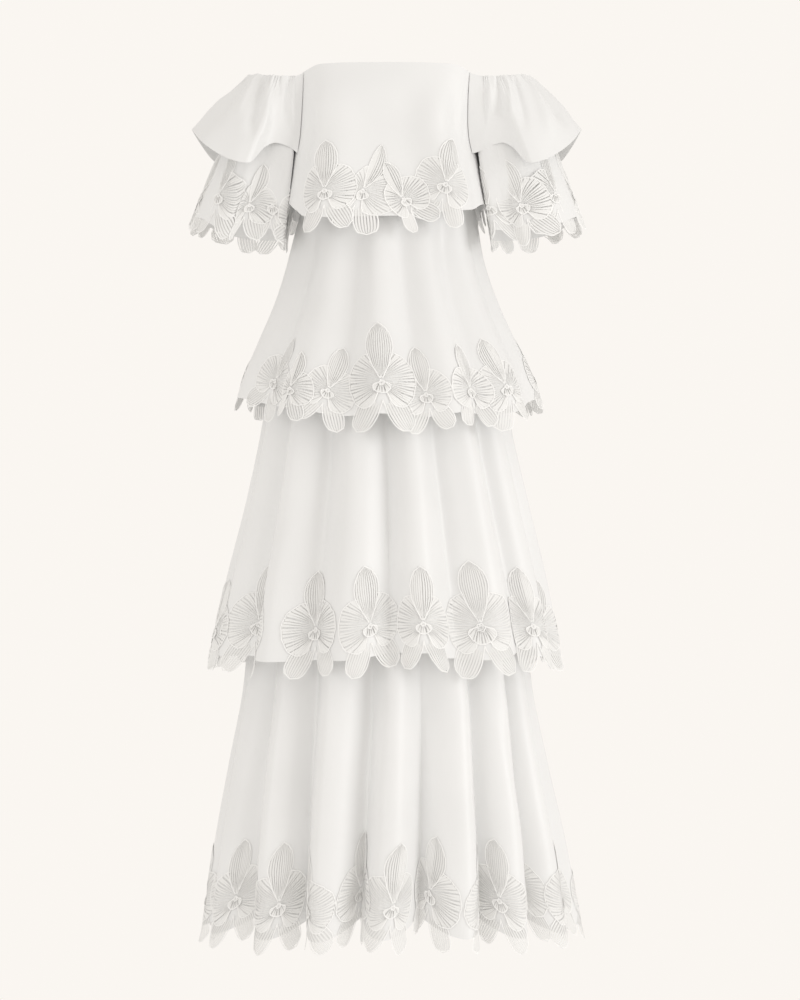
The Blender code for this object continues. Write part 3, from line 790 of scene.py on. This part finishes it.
Band = namedtuple("Band", "points facing along places")
BAND_LOW = -45.0
BAND_HIGH = 175.0
BAND_STEP = 5.0
BAND_MIDDLE = 45.0
BAND_SLOPE_REACH = 90.0
BAND_TURN = 0.5
BAND_OVERLAP = 100.0
BAND_LAP = (-0.2, 1.2)
BAND_PER_FOLD = 40


def band_of(surface, params, places):
    """The strip beside a hem that lace lies on. surface gives points at a height up from the hem. The
    strip goes straight on below the hem, as the cloth's last stretch points."""
    heights = np.arange(BAND_LOW, BAND_HIGH + BAND_STEP, BAND_STEP)
    on_cloth = surface(params, heights[heights >= 0])
    edge, above = on_cloth[:, 0], on_cloth[:, 2]
    fall = (edge - above) / np.linalg.norm(edge - above, axis=-1, keepdims=True)
    hanging = edge[:, None] - fall[:, None] * heights[heights < 0][None, :, None]
    grid = np.concatenate([hanging, on_cloth], axis=1)
    facing = normals(grid[:, ::-1], closed=False)[:, ::-1]
    middle = grid[:, np.searchsorted(heights, BAND_MIDDLE)]
    along = np.linalg.norm(np.diff(middle, axis=0, prepend=middle[:1]), axis=-1).cumsum()
    return Band(grid, facing, along, places)


def on_band(band, along, height, lift):
    """Points at a length along a band, a height up from the hem and a lift off the cloth."""
    column = np.interp(along, band.along, np.arange(len(band.along)))
    row = (np.clip(height, BAND_LOW, BAND_HIGH - 0.01) - BAND_LOW) / BAND_STEP
    i, j = np.minimum(column.astype(int), len(band.along) - 2), row.astype(int)
    s, t = (column - i)[..., None], (row - j)[..., None]

    def mixed(grid):
        return ((grid[i, j] * (1 - s) + grid[i + 1, j] * s) * (1 - t)
                + (grid[i, j + 1] * (1 - s) + grid[i + 1, j + 1] * s) * t)

    out = mixed(band.facing)
    out /= np.linalg.norm(out, axis=-1, keepdims=True)
    return mixed(band.points) + out * lift[..., None]


def creased_arm(points, depths, closed, side):
    """A sleeve's or a ruffle's grid in order, moved out along its own normals by the depths."""
    grid = in_order(points, side)
    return grid + normals(grid, closed) * in_order(depths, side)[..., None]


def sleeve_grid(turn, share, side):
    """A sleeve's points with its drapes, by the turn round the arm and the share of the way down."""
    depths = drape_depths(SLEEVE_DRAPES[side], (turn + 180) / 360, share)
    return creased_arm(sleeve_points(turn, share, side), depths, True, side)


def ruffle_grid(place, share, side):
    """A ruffle's points with its drapes and pleats, which stop short of its sewn ends."""
    depths = drape_depths(RUFFLE_DRAPES[side], place, share) + pleat_depths(place, share)
    from_end = np.minimum(place, 1 - place)
    depths *= ease((from_end - RUFFLE_END_SHARE) / RUFFLE_END_SHARE)[:, None]
    return creased_arm(ruffle_points(place, share, side), depths, False, side)


def layer_band(layer):
    """The band of a skirt tier or of the popover, one lap and a little more, by azimuth."""
    count = len(layer.folds)
    turn = np.arange(BAND_LAP[0] * count, BAND_LAP[1] * count, 1 / BAND_PER_FOLD)[:, None]
    hem = hem_drops(layer, turn)
    reach = creased(layer, turn, hem) - creased(layer, turn, hem - BAND_SLOPE_REACH)
    steepness = BAND_SLOPE_REACH / np.linalg.norm(reach, axis=-1)

    def surface(turn, heights):
        return creased(layer, turn, hem - heights[None] * steepness)

    return band_of(surface, turn, fold_azimuths(layer.folds, turn[:, 0]))


def sleeve_band(side):
    """The band of a sleeve's hem, one lap and a little more, by the turn round the arm on the left, and
    by that turn backwards on the right, so that places grow towards +X along the front of both."""
    turn = np.arange(-180, 180, BAND_TURN)
    more = round(BAND_OVERLAP / BAND_TURN)
    length = np.linalg.norm(sleeve_points(turn, np.array([[1.0]]), side)
                            - sleeve_points(turn, np.array([[0.0]]), side), axis=-1)

    def surface(turn, heights):
        once = sleeve_grid(turn, 1 - heights[None] / length, side)
        return np.concatenate([once, once[:more]])

    places = in_order(turn, side) * (1 if side == "left" else -1)
    return band_of(surface, turn, np.concatenate([places, places[:more] + 360]))


# A leaf petal lies along an axis. widest is where on its length it is broadest, and a low pointed power
# ends it in a round tip. Its middle rib starts at foot, and the outer ones up to tuck further on.
Leaf = namedtuple("Leaf", "angle length half_width widest pointed ribs foot tuck level")
# A fan petal spreads from the flower's heart over half_span to each side of its angle.
Fan = namedtuple("Fan", "angle half_span radius ribs level")
# A frill is a small lobed ring, at an angle and a distance from the heart.
Frill = namedtuple("Frill", "angle away radius lobes level")
# A petal as it lies on a band: its ribs' paths, their half-widths and how far their edges are open to a
# slit, its outline, and its height off the cloth.
Petal = namedtuple("Petal", "ribs widths opened rim level")

# Two waves that make an outline uneven: each one's depth, its pitch, and its share of the flower's wobble.
LEAF_WAVES = ((0.03, 9, 1), (0.015, 23, 1))
FAN_WAVES = ((0.02, 7, 1), (0.012, 21, 2))
LEAF_SAMPLES = 120
FAN_SAMPLES = 181
LEAF_RIM_POINTS = 12
FAN_RIM_POINTS = 30
FRILL_POINTS = 17
# A leaf's ribs keep within this share of its half-width, are bunched by this power of it, and end by this
# share of its length.
LEAF_FILL = 0.94
LEAF_BUNCH = 0.75
LEAF_END = 0.965
# A fan's edge falls by this power of a cosine, over this share of a quarter turn to each side. Its foot is
# this share of its radius. Its ribs bend by a share of their angle, and start, spread, open their slits and
# end at these shares of the radius. Their places on the edge are uneven by a share of the pitch.
FAN_ROUNDNESS = 0.13
FAN_SWEEP = 0.985
FAN_FOOT = 0.15
FAN_FOUNTAIN = 0.5
FAN_START = 0.07
FAN_SPINE = 0.145
FAN_OPENS = 0.12
FAN_END = 0.975
FAN_UNEVEN = 0.12
RIB_POINTS = 7
RIB_THICKNESS = 0.5
RIB_STEP = 0.04
NARROWEST_RIB = 0.2
# A slit is this wide or a share of the ribs' pitch, opens over a share of the petal's length, and starts at
# an uneven one.
SLIT = 0.75
SLIT_LIMIT = 0.4
SLIT_OPENING = 0.25
SLIT_UNEVEN = 0.06
# A cord's size and its height over the ribs. A shade is how far the map starts under 0 at an edge.
CORD_HALF = 0.9
CORD_RISE = 0.35
CORD_THICKNESS = 0.8
# The lace's colour ramp paints shade along each rib's edges, deepest where its slit is open.
PAINTED_EDGE_SHADE = 0.36
CORD_SHADE = -4.0
# What is left of a line under another petal, how much of that petal's outline hides it, and how near.
COVERED_SHARE = 0.08
COVER_MARGIN = 0.94
COVER_REACH = 170.0
# How the tails curl away below the hem, the usual height of a flower's heart, and the lift of every second
# flower. A flower that is turned by 1 has one side gone, and the other wider by WIDER_SIDE.
TAIL_CURL = 0.003
FLOWER_HEART = 47.0
NEIGHBOUR_LIFT = 0.45
WIDER_SIDE = 0.35
PETALS = [
    Leaf(-62, 80, 17.5, 0.66, 0.40, 8, 0.30, 0.14, 0.4),
    Leaf(-118, 80, 17.5, 0.66, 0.40, 8, 0.30, 0.14, 0.4),
    Fan(7, 76, 53, 28, 0.7),
    Fan(173, 76, 53, 28, 0.7),
    Leaf(90, 88, 20.5, 0.62, 0.80, 10, 0.05, 0.10, 1.0),
]
LIP = [
    Fan(-90, 70, 17, 9, 1.3),
    Frill(-90, 2, 3.4, 5, 1.4),
]


def turned(paths, angle):
    """Paths that run along +u, turned to an angle in degrees."""
    cosine, sine = np.cos(np.radians(angle)), np.sin(np.radians(angle))
    u, v = paths[..., 0], paths[..., 1]
    return np.stack([u * cosine - v * sine, u * sine + v * cosine], axis=-1)


def path_length(path):
    """Length so far at each point of a path."""
    return np.linalg.norm(np.diff(path, axis=0, prepend=path[:1]), axis=-1).cumsum()


def waved(share, wobble, waves):
    """1 with two small waves along an outline."""
    (depth, pitch, phase), (less, closer, other) = waves
    return 1 + depth * np.sin(pitch * share + phase * wobble) + less * np.sin(closer * share + other * wobble)


def rib_widths(pitch, past):
    """A rib's half-width, half the pitch less half a slit, and how far its slits are open. By the heart
    the ribs run together, and past is the share of the petal's length from where the slits open."""
    opened = ease(past / SLIT_OPENING)
    slit = np.minimum(SLIT, SLIT_LIMIT * pitch) * opened
    return np.clip((pitch - slit) / 2, NARROWEST_RIB, None), opened


def leaf_lines(leaf, size, wobble):
    """A leaf's ribs with their half-widths, and its outline. Its half-width grows as a power of the
    length and falls as another, and the ribs keep an even share of it, bunched less at the ends."""
    share = np.linspace(0, 1, LEAF_SAMPLES)
    rising = leaf.pointed * leaf.widest / (1 - leaf.widest)
    half = (share / leaf.widest) ** rising * ((1 - share) / (1 - leaf.widest)) ** leaf.pointed
    half *= leaf.half_width * size
    half *= waved(share, wobble, LEAF_WAVES)
    inner = half**LEAF_BUNCH * (leaf.half_width * size) ** (1 - LEAF_BUNCH)
    count = max(round(leaf.ribs * size), 3)
    across = np.linspace(-1, 1, count + 2)[1:-1, None]
    fits = (np.abs(across) * inner < LEAF_FILL * half) & (share >= leaf.foot)
    last = np.minimum(share[len(share) - 1 - fits[:, ::-1].argmax(axis=1)], LEAF_END)[:, None]
    first = leaf.foot + leaf.tuck * np.sqrt(np.abs(across))
    along = first + (last - first) * np.linspace(0, 1, RIB_POINTS)
    reach = np.interp(along, share, inner)
    ribs = np.stack([along * leaf.length * size, across * reach], axis=-1)
    widths, opened = rib_widths(2 / (count + 1) * reach, along - leaf.foot)
    there = np.linspace(leaf.foot, 1, LEAF_RIM_POINTS)
    edge = np.interp(there, share, half)
    outline = np.stack([np.concatenate([there, there[-2::-1]]) * leaf.length * size,
                        np.concatenate([edge, -edge[-2::-1]])], axis=-1)
    return turned(ribs, leaf.angle), widths, opened, turned(outline, leaf.angle)


def fan_lines(fan, size, wobble):
    """A fan's ribs with their half-widths, and its outline. Its radius falls off as a low power of the
    cosine across its span. The ribs rise like a fountain from a short spine across its angle, and their
    slits open at uneven radii."""
    share = np.linspace(-1, 1, FAN_SAMPLES)
    radius = fan.radius * size * np.cos(np.pi / 2 * share * FAN_SWEEP) ** FAN_ROUNDNESS
    radius *= waved(share, wobble, FAN_WAVES)
    angle = np.radians(fan.half_span * share)
    outline = np.stack([radius * np.cos(angle), radius * np.sin(angle)], axis=-1)
    length = path_length(outline)
    count = max(round(fan.ribs * size), 4)
    spread = np.arange(count) + 0.5 + FAN_UNEVEN * np.sin(2.3 * np.arange(count) + wobble)
    ends = np.interp(spread / count * length[-1], length, share)[:, None]
    along = FAN_START + (FAN_END - FAN_START) * np.linspace(0, 1, RIB_POINTS) ** 0.9
    bent = np.radians(ends * fan.half_span * (1 + FAN_FOUNTAIN * (1 - along) * (1 - ends**2)))
    reach = np.interp(ends, share, radius) * along
    from_spine = FAN_SPINE * fan.radius * size * ends * (1 - along) ** 1.5
    ribs = np.stack([reach * np.cos(bent), reach * np.sin(bent) + from_spine], axis=-1)
    uneven = SLIT_UNEVEN * np.sin(3.1 * np.arange(count) + wobble)[:, None]
    widths, opened = rib_widths(length[-1] / count * along, along - FAN_OPENS - uneven)
    whole = np.concatenate([FAN_FOOT * outline[:1], outline, FAN_FOOT * outline[-1:]])
    so_far = path_length(whole)
    even = np.linspace(0, so_far[-1], FAN_RIM_POINTS)
    rim = np.stack([np.interp(even, so_far, whole[:, k]) for k in (0, 1)], axis=-1)
    return turned(ribs, fan.angle), widths, opened, turned(rim, fan.angle)


def frill_lines(frill, size, wobble):
    """A frill's lobed ring, and a smaller one inside it."""
    angle = np.linspace(0, 2 * np.pi, FRILL_POINTS) + wobble
    lobed = frill.radius * size * (1 + 0.2 * np.cos(frill.lobes * angle) + 0.06 * np.sin(2 * angle + wobble))
    ring = np.stack([lobed * np.cos(angle), lobed * np.sin(angle)], axis=-1)
    middle = turned(np.array([frill.away * size, 0.0]), frill.angle)
    flat = np.ones((1, len(angle)))
    return (0.5 * ring + middle)[None], CORD_HALF * flat, 0.5 * flat, ring + middle


def petals_on(band, flower, number):
    """A flower's petals on a band, in lengths along it and heights up from the hem. Every second flower is
    mirrored, and lies over its neighbours."""
    mirror = -1 if number % 2 else 1
    left = 1 - max(flower.turn, WIDER_SIDE * flower.turn)
    right = 1 + min(flower.turn, WIDER_SIDE * flower.turn)
    heart = np.array([np.interp(flower.place, band.places, band.along),
                      FLOWER_HEART * flower.size + flower.raised])
    makers = {Leaf: leaf_lines, Fan: fan_lines, Frill: frill_lines}
    laid = []
    for shapes, size in ((PETALS, flower.size), (LIP, flower.size * flower.lip)):
        for shape in shapes:
            ribs, widths, opened, rim = makers[type(shape)](shape, size, 1.9 * number + shape.angle)
            placed = []
            for paths in (ribs, rim):
                across = mirror * paths[..., 0]
                across = across * np.where(across < 0, left, right)
                placed.append(turned(np.stack([across, paths[..., 1]], axis=-1), flower.tilt) + heart)
            level = shape.level + NEIGHBOUR_LIFT * (number % 2)
            laid.append(Petal(placed[0], widths, opened, placed[1], level))
    return laid


def inside(points, outline):
    """Whether points lie within a closed outline: a level line from one to the right crosses it an odd
    number of times."""
    x, y = points[..., 0, None], points[..., 1, None]
    x0, y0 = outline[:, 0], outline[:, 1]
    x1, y1 = np.roll(x0, -1), np.roll(y0, -1)
    crossing = x0 + (y - y0) * (x1 - x0) / np.where(y1 == y0, 1, y1 - y0)
    return (((y0 > y) != (y1 > y)) & (x < crossing)).sum(axis=-1) % 2 == 1


def uncovered(paths, above):
    """1 along paths, and COVERED_SHARE where one of the petals above lies well over them."""
    covered = np.zeros(paths.shape[:-1], bool)
    for petal in above:
        middle = petal.rim.mean(axis=0)
        covered |= inside(paths, middle + (petal.rim - middle) * COVER_MARGIN)
    return np.where(covered, COVERED_SHARE, 1)


def bars(paths, half_width, shade, level, thickness):
    """Closed bars along flat paths, with a section like a lens: its edges are half_width from the path and
    its crest and keel half a thickness from the level. The map runs along a bar in metres, and across it
    in millimetres, from its shade under 0 at an edge. Cords have a negative shade, past all the ribs."""
    count, points = paths.shape[:2]
    along = np.gradient(paths, axis=1)
    along /= np.linalg.norm(along, axis=-1, keepdims=True)
    side = np.stack([-along[..., 1], along[..., 0]], axis=-1) * half_width[..., None]
    flat = np.stack([paths + side, paths, paths - side, paths], axis=2)
    rise = level + thickness * np.array([0, 0.5, 0, -0.5]) + RIB_STEP * (np.arange(count) % 3)[:, None, None]
    corners = np.concatenate([flat, np.broadcast_to(rise[..., None], flat.shape[:3] + (1,))], axis=-1)
    at = np.arange(count * points * 4).reshape(count, points, 4)
    here, there = at[:, :-1], at[:, 1:]
    sides = np.stack([here, np.roll(here, -1, axis=2), np.roll(there, -1, axis=2), there], axis=-1)
    ends = np.concatenate([at[:, 0, ::-1], at[:, -1]])
    length = np.linalg.norm(np.diff(paths, axis=1, prepend=paths[:, :1]), axis=-1).cumsum(axis=1) * MM
    # A rib's edges map under 0 by its shade, where the lace finish paints shade beside the slit.
    across = half_width[..., None] * [0, 1, 0, 1] - shade[..., None]
    uv = np.stack([np.broadcast_to(length[..., None], across.shape), across], axis=-1)
    return corners.reshape(-1, 3), uv.reshape(-1, 2), np.concatenate([sides.reshape(-1, 4), ends])


def lace(name, band, flowers, finish):
    """Orchids laid on a band at their places, each sized, tilted and set so that its tails hang down. A
    line is thinned away where a higher petal covers it."""
    petals = [petal for number, flower in enumerate(flowers) for petal in petals_on(band, flower, number)]
    corners, maps, faces, count = [], [], [], 0
    for petal in petals:
        above = [other for other in petals
                 if other.level > petal.level and abs(other.rim[0, 0] - petal.rim[0, 0]) < COVER_REACH]
        rim = petal.rim[None]
        widths = petal.widths * uncovered(petal.ribs, above)
        cord = CORD_HALF * uncovered(rim, above)
        for points, uv, sides in (
            bars(petal.ribs, widths, PAINTED_EDGE_SHADE * petal.opened, petal.level, RIB_THICKNESS),
            bars(rim, cord, CORD_SHADE + 0 * cord, petal.level + CORD_RISE, CORD_THICKNESS),
        ):
            lift = points[:, 2] + TAIL_CURL * np.clip(points[:, 1], None, 0) ** 2
            corners.append(on_band(band, points[:, 0], points[:, 1], lift))
            maps.append(uv)
            faces.append(sides + count)
            count += len(points)
    return mesh_object(name, np.concatenate(corners), np.concatenate(faces).tolist(), np.concatenate(maps),
                       LACE_SHARPEST, finish)


FLOWERS = {
    "popover": rows(Flower, [
        (-150, 0.78, 4, 0.3), (-122, 0.8, -8), (-88, 0.78, 6, -0.2), (-23, 0.88, 9, 0.1),
        (-4, 0.84, -21, 0.45), (1.8, 0.7, 24, 0.4, -8), (23, 0.88, -24, -0.1), (88, 0.78, -6),
        (118, 0.78, 6, -0.3), (146, 0.8, -8), (170, 0.78, 8, 0.3), (191, 0.76, -6),
    ]),
    "tier_1": rows(Flower, [
        (-158, 0.8, 8), (-137, 0.84, -10, 0.3), (-116, 0.78, 8), (-94, 0.78, -6, -0.3), (-53, 0.84, -20),
        (-38, 0.66, -8, 0.5), (-24, 0.8, -14, 0.15), (-2.5, 1.06, 2), (15, 0.84, 6, -0.15, -4),
        (31, 0.8, 4, 0.2), (50, 0.9, 10, -0.2), (92, 0.78, -8), (109, 0.8, 6, 0.3), (126, 0.84, -10),
        (152, 0.8, 8, -0.3), (177, 0.82, -6),
    ]),
    "tier_2": rows(Flower, [
        (-150, 0.94, 8), (-128, 0.9, -6, 0.3), (-108, 0.94, 8), (-88, 0.88, -6, -0.3), (-74, 0.9, -4, 0.2),
        (-53, 1.06, -4), (-24.5, 0.98, 4, -0.1), (-5.5, 1, 7, 0.1), (12, 0.94, 0, 0.15),
        (35, 1.1, 3, 0, 0, 1.5), (61, 1, 6, -0.2), (80, 0.9, -5, 0.2), (97, 0.88, 6, 0.3), (117, 0.94, -8),
        (137, 0.92, 6, -0.3), (156, 0.96, -6), (174, 0.92, 6, 0.3), (191, 0.9, -4),
    ]),
    "tier_3": rows(Flower, [
        (-166, 0.92, 6), (-151, 0.98, -6, 0.3), (-136, 0.9, 8), (-121, 0.96, -6, -0.3), (-106, 0.92, 8),
        (-92, 0.94, -6, 0.3), (-77, 0.98, 5), (-60, 0.96, -4, -0.15), (-46, 0.9, 5, 0.3), (-35, 1, -4, -0.1),
        (-23, 0.92, 8, 0.3), (-12, 0.94, -4), (0, 1, -6, -0.2), (13, 0.98, -8, 0.2), (25, 0.92, 6, -0.3),
        (35, 0.98, 4), (50, 0.94, 6, 0.2), (65, 1.02, -6), (80, 0.92, 6, -0.3), (94, 0.96, -6),
        (108, 0.92, 8, 0.3), (123, 0.98, -8), (138, 0.9, 6, -0.3), (153, 0.96, -6), (167, 0.92, 8, 0.2),
        (181, 0.94, -5),
    ]),
    "sleeve_left": rows(Flower, [
        (-150, 0.72, 8), (-114, 0.76, -8, 0.3), (-80, 0.8, 6), (-48, 0.78, -6, -0.3), (-14, 0.8, 8),
        (20, 0.76, -8, 0.2), (55, 0.9, 8, 0.1, 4), (88, 0.72, -6, 0.45, -4), (115, 0.78, 8, 0.2, -2),
        (152, 0.7, -6),
    ]),
    "sleeve_right": rows(Flower, [
        (-134, 0.78, 8), (-97, 0.86, 10, 0.2), (-56, 0.88, -14, -0.2, 4), (-20, 0.8, 6, 0.3), (16, 0.78, -6),
        (50, 0.8, 8, -0.3), (82, 0.76, -8), (114, 0.8, 6, 0.3), (150, 0.72, -6), (190, 0.7, 6),
    ]),
}


def node(tree, kind, **sockets):
    """A shader node with its sockets set by name."""
    made = tree.nodes.new(kind)
    for name, value in sockets.items():
        made.inputs[name.replace("_", " ")].default_value = value
    return made


def ramp(tree, *stops):
    """A colour ramp through its stops, each a position and a colour."""
    made = tree.nodes.new("ShaderNodeValToRGB")
    elements = made.color_ramp.elements
    elements.remove(elements[1])
    for number, (position, colour) in enumerate(stops):
        stop = elements.new(position) if number else elements[0]
        stop.position = position
        stop.color = (*colour, 1)
    return made


def join(tree, *links):
    """Links, each from a node and its output to a node and its input."""
    for source, output, target, socket in links:
        tree.links.new(source.outputs[output], target.inputs[socket])


def finish(name, **sockets):
    """A new material's node tree and shader, with the shader's sockets set by name."""
    made = bpy.data.materials.new(name)
    made.use_nodes = True
    shader = made.node_tree.nodes["Principled BSDF"]
    for socket, value in sockets.items():
        shader.inputs[socket.replace("_", " ")].default_value = value
    return made, made.node_tree, shader


def satin_finish():
    """Ivory satin-faced faille: close crosswise ribs, slubs along the warp, and a faint change of tone."""
    made, tree, shader = finish("ivory_satin", Roughness=0.44, Sheen_Weight=0.12, Sheen_Roughness=0.4,
                                Specular_IOR_Level=0.5)
    place = node(tree, "ShaderNodeTexCoord")
    stretch = node(tree, "ShaderNodeMapping", Scale=(900, 90, 1))
    slub = node(tree, "ShaderNodeTexNoise", Scale=1.0, Detail=3.0)
    tone = node(tree, "ShaderNodeTexNoise", Scale=9.0, Detail=2.0)
    colour = ramp(tree, (0.3, (0.825, 0.827, 0.825)), (0.7, (0.850, 0.852, 0.850)))
    bump = node(tree, "ShaderNodeBump", Strength=0.12, Distance=0.0003)
    join(
        tree,
        (place, "UV", stretch, "Vector"),
        (stretch, "Vector", slub, "Vector"),
        (place, "Object", tone, "Vector"),
        (tone, "Fac", colour, "Fac"),
        (colour, "Color", shader, "Base Color"),
        (slub, "Fac", bump, "Height"),
        (bump, "Normal", shader, "Normal"),
    )
    return made


def lace_finish():
    """Matt white embroidery thread, wound close across its ribs, with painted shade darkening each rib's
    edges where they dip into a slit. The cords are the whitest."""
    made, tree, shader = finish("white_lace", Roughness=0.6, Sheen_Weight=0.2)
    place = node(tree, "ShaderNodeTexCoord")
    wound = node(tree, "ShaderNodeTexWave", Scale=700.0, Distortion=1.5, Detail=1.0)
    across = tree.nodes.new("ShaderNodeSeparateXYZ")
    from_edge = node(tree, "ShaderNodeMapRange", From_Min=-PAINTED_EDGE_SHADE, From_Max=-CORD_SHADE)
    # The ramp's first stop is painted shade along a rib's edges, then the rib's own thread colour, then the
    # whitest cords.
    rib = (0.868, 0.867, 0.857)
    colour = ramp(tree, (0, (0.68, 0.672, 0.655)), (0.094, rib), (0.7, rib), (1, (0.945, 0.943, 0.935)))
    bump = node(tree, "ShaderNodeBump", Strength=0.25, Distance=0.0002)
    join(
        tree,
        (place, "UV", wound, "Vector"),
        (place, "UV", across, "Vector"),
        (across, "Y", from_edge, "Value"),
        (from_edge, "Result", colour, "Fac"),
        (colour, "Color", shader, "Base Color"),
        (wound, "Fac", bump, "Height"),
        (bump, "Normal", shader, "Normal"),
    )
    return made


def ring_pieces(satin, white):
    """The fronts and backs of the bodice, the popover and the tiers, and their lace, by node."""
    cloths, laces = {}, {}
    for layer in (BODICE, POPOVER, TIER_1, TIER_2, TIER_3):
        cloths.update(halves(layer, satin))
        if layer.name in FLOWERS:
            band = layer_band(layer)
            for half in ("front", "back"):
                flowers = [flower for flower in FLOWERS[layer.name]
                           if (abs(flower.place) < SIDE_SEAM) == (half == "front")]
                name = f"{layer.name}_{half}"
                laces[name] = lace(f"{name}_orchids", band, flowers, white)
    return cloths, laces


def arm_pieces(satin, white):
    """The sleeves, the ruffles over them and the sleeves' lace, by node."""
    cloths, laces = {}, {}
    for side in ("left", "right"):
        sleeve, ruffle = f"sleeve_{side}", f"ruffle_{side}"
        grid = sleeve_grid(np.arange(-180, 180, SLEEVE_STEP), row_shares("sleeve")[None], side)
        cloths[sleeve] = shell(f"{sleeve}_cloth", grid, True, satin)
        grid = ruffle_grid(np.linspace(0, 1, RUFFLE_COLUMNS), row_shares("ruffle")[None], side)
        cloths[ruffle] = shell(f"{ruffle}_cloth", grid, False, satin)
        laces[sleeve] = lace(f"{sleeve}_orchids", sleeve_band(side), FLOWERS[sleeve], white)
    return cloths, laces


def declare(piece, name):
    """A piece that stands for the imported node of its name."""
    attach(piece, "root")
    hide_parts(name)


def dress():
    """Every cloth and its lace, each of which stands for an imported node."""
    satin, white = satin_finish(), lace_finish()
    cloths, laces = {}, {}
    for more_cloths, more_laces in (ring_pieces(satin, white), arm_pieces(satin, white)):
        cloths.update(more_cloths)
        laces.update(more_laces)
    for name, piece in cloths.items():
        declare(piece, name)
    for name, piece in laces.items():
        declare(piece, f"{name}_lace")


BACKDROP = (0.9572, 0.9232, 0.8808, 1.0)
SKY_SHARE = 0.86
FLOOR_SHARE = 0.92
LIGHT_BOUNCES = 14
FLOOR_LEVEL = -1.30
VIEW_X = 0.017
VIEW_HEIGHT = -0.5985
VIEW_DISTANCE = 3.5
FRAME_HEIGHT = 1.55
FLOOR_HALF = 40.0
LIGHT_AIM = (0.0, 0.0, -0.5)
LIGHTS = rows(Light, [
    ("key", (3.5, -2.1, 0.0), 1.8, 45),
    ("fill", (-2.6, -3.0, -0.8), 2.0, 22),
])


def softened(tree, light, share):
    """A backdrop that is seen at full strength, and lights the dress with a share of it."""
    path = tree.nodes.new("ShaderNodeLightPath")
    strength = tree.nodes.new("ShaderNodeMath")
    strength.operation = "MULTIPLY_ADD"
    strength.inputs[1].default_value = 1 - share
    strength.inputs[2].default_value = share
    tree.links.new(path.outputs["Is Camera Ray"], strength.inputs[0])
    tree.links.new(strength.outputs["Value"], light.inputs["Strength"])


def sky(scene):
    """The background, and the light that comes from it."""
    world = bpy.data.worlds.new("studio")
    world.use_nodes = True
    glow = world.node_tree.nodes["Background"]
    glow.inputs["Color"].default_value = BACKDROP
    softened(world.node_tree, glow, SKY_SHARE)
    scene.world = world


def pale_floor(scene):
    """A level square below the hem, in the background's colour, so that the two meet without a line."""
    pale = bpy.data.materials.new("pale_floor")
    pale.use_nodes = True
    tree = pale.node_tree
    glow = node(tree, "ShaderNodeEmission", Color=BACKDROP)
    softened(tree, glow, FLOOR_SHARE)
    join(tree, (glow, "Emission", tree.nodes["Material Output"], "Surface"))
    mesh = bpy.data.meshes.new("floor")
    corners = [(x * FLOOR_HALF, y * FLOOR_HALF, FLOOR_LEVEL) for x, y in ((-1, -1), (1, -1), (1, 1), (-1, 1))]
    mesh.from_pydata(corners, [], [(0, 1, 2, 3)])
    mesh.materials.append(pale)
    floor = bpy.data.objects.new("floor", mesh)
    scene.collection.objects.link(floor)


def lamps(scene):
    """Square lamps, each turned so that it shines from its place to the middle of the dress."""
    for light in LIGHTS:
        lamp = bpy.data.lights.new(light.name, "AREA")
        lamp.size = light.size
        lamp.energy = light.power
        stand = bpy.data.objects.new(light.name, lamp)
        stand.location = light.place
        aim = np.subtract(LIGHT_AIM, light.place)
        stand.rotation_euler = (
            np.arctan2(np.hypot(aim[0], aim[1]), -aim[2]), 0, np.arctan2(aim[1], aim[0]) - np.pi / 2)
        scene.collection.objects.link(stand)


def front_view(scene):
    """A camera level in front, from where the frame is FRAME_HEIGHT high at the dress."""
    camera = bpy.data.cameras.new("camera")
    camera.lens = camera.sensor_width * VIEW_DISTANCE / FRAME_HEIGHT
    seen = bpy.data.objects.new("camera", camera)
    seen.location = (VIEW_X, -VIEW_DISTANCE, VIEW_HEIGHT)
    seen.rotation_euler = (np.pi / 2, 0, 0)
    scene.collection.objects.link(seen)
    scene.camera = seen


def studio():
    """A pale floor and background, a soft key light from the right, a fill from the left, and the view."""
    scene = bpy.context.scene
    scene.view_settings.view_transform = "Standard"
    scene.cycles.max_bounces = LIGHT_BOUNCES
    scene.cycles.diffuse_bounces = LIGHT_BOUNCES
    for part in (sky, pale_floor, lamps, front_view):
        part(scene)


dress()
studio()
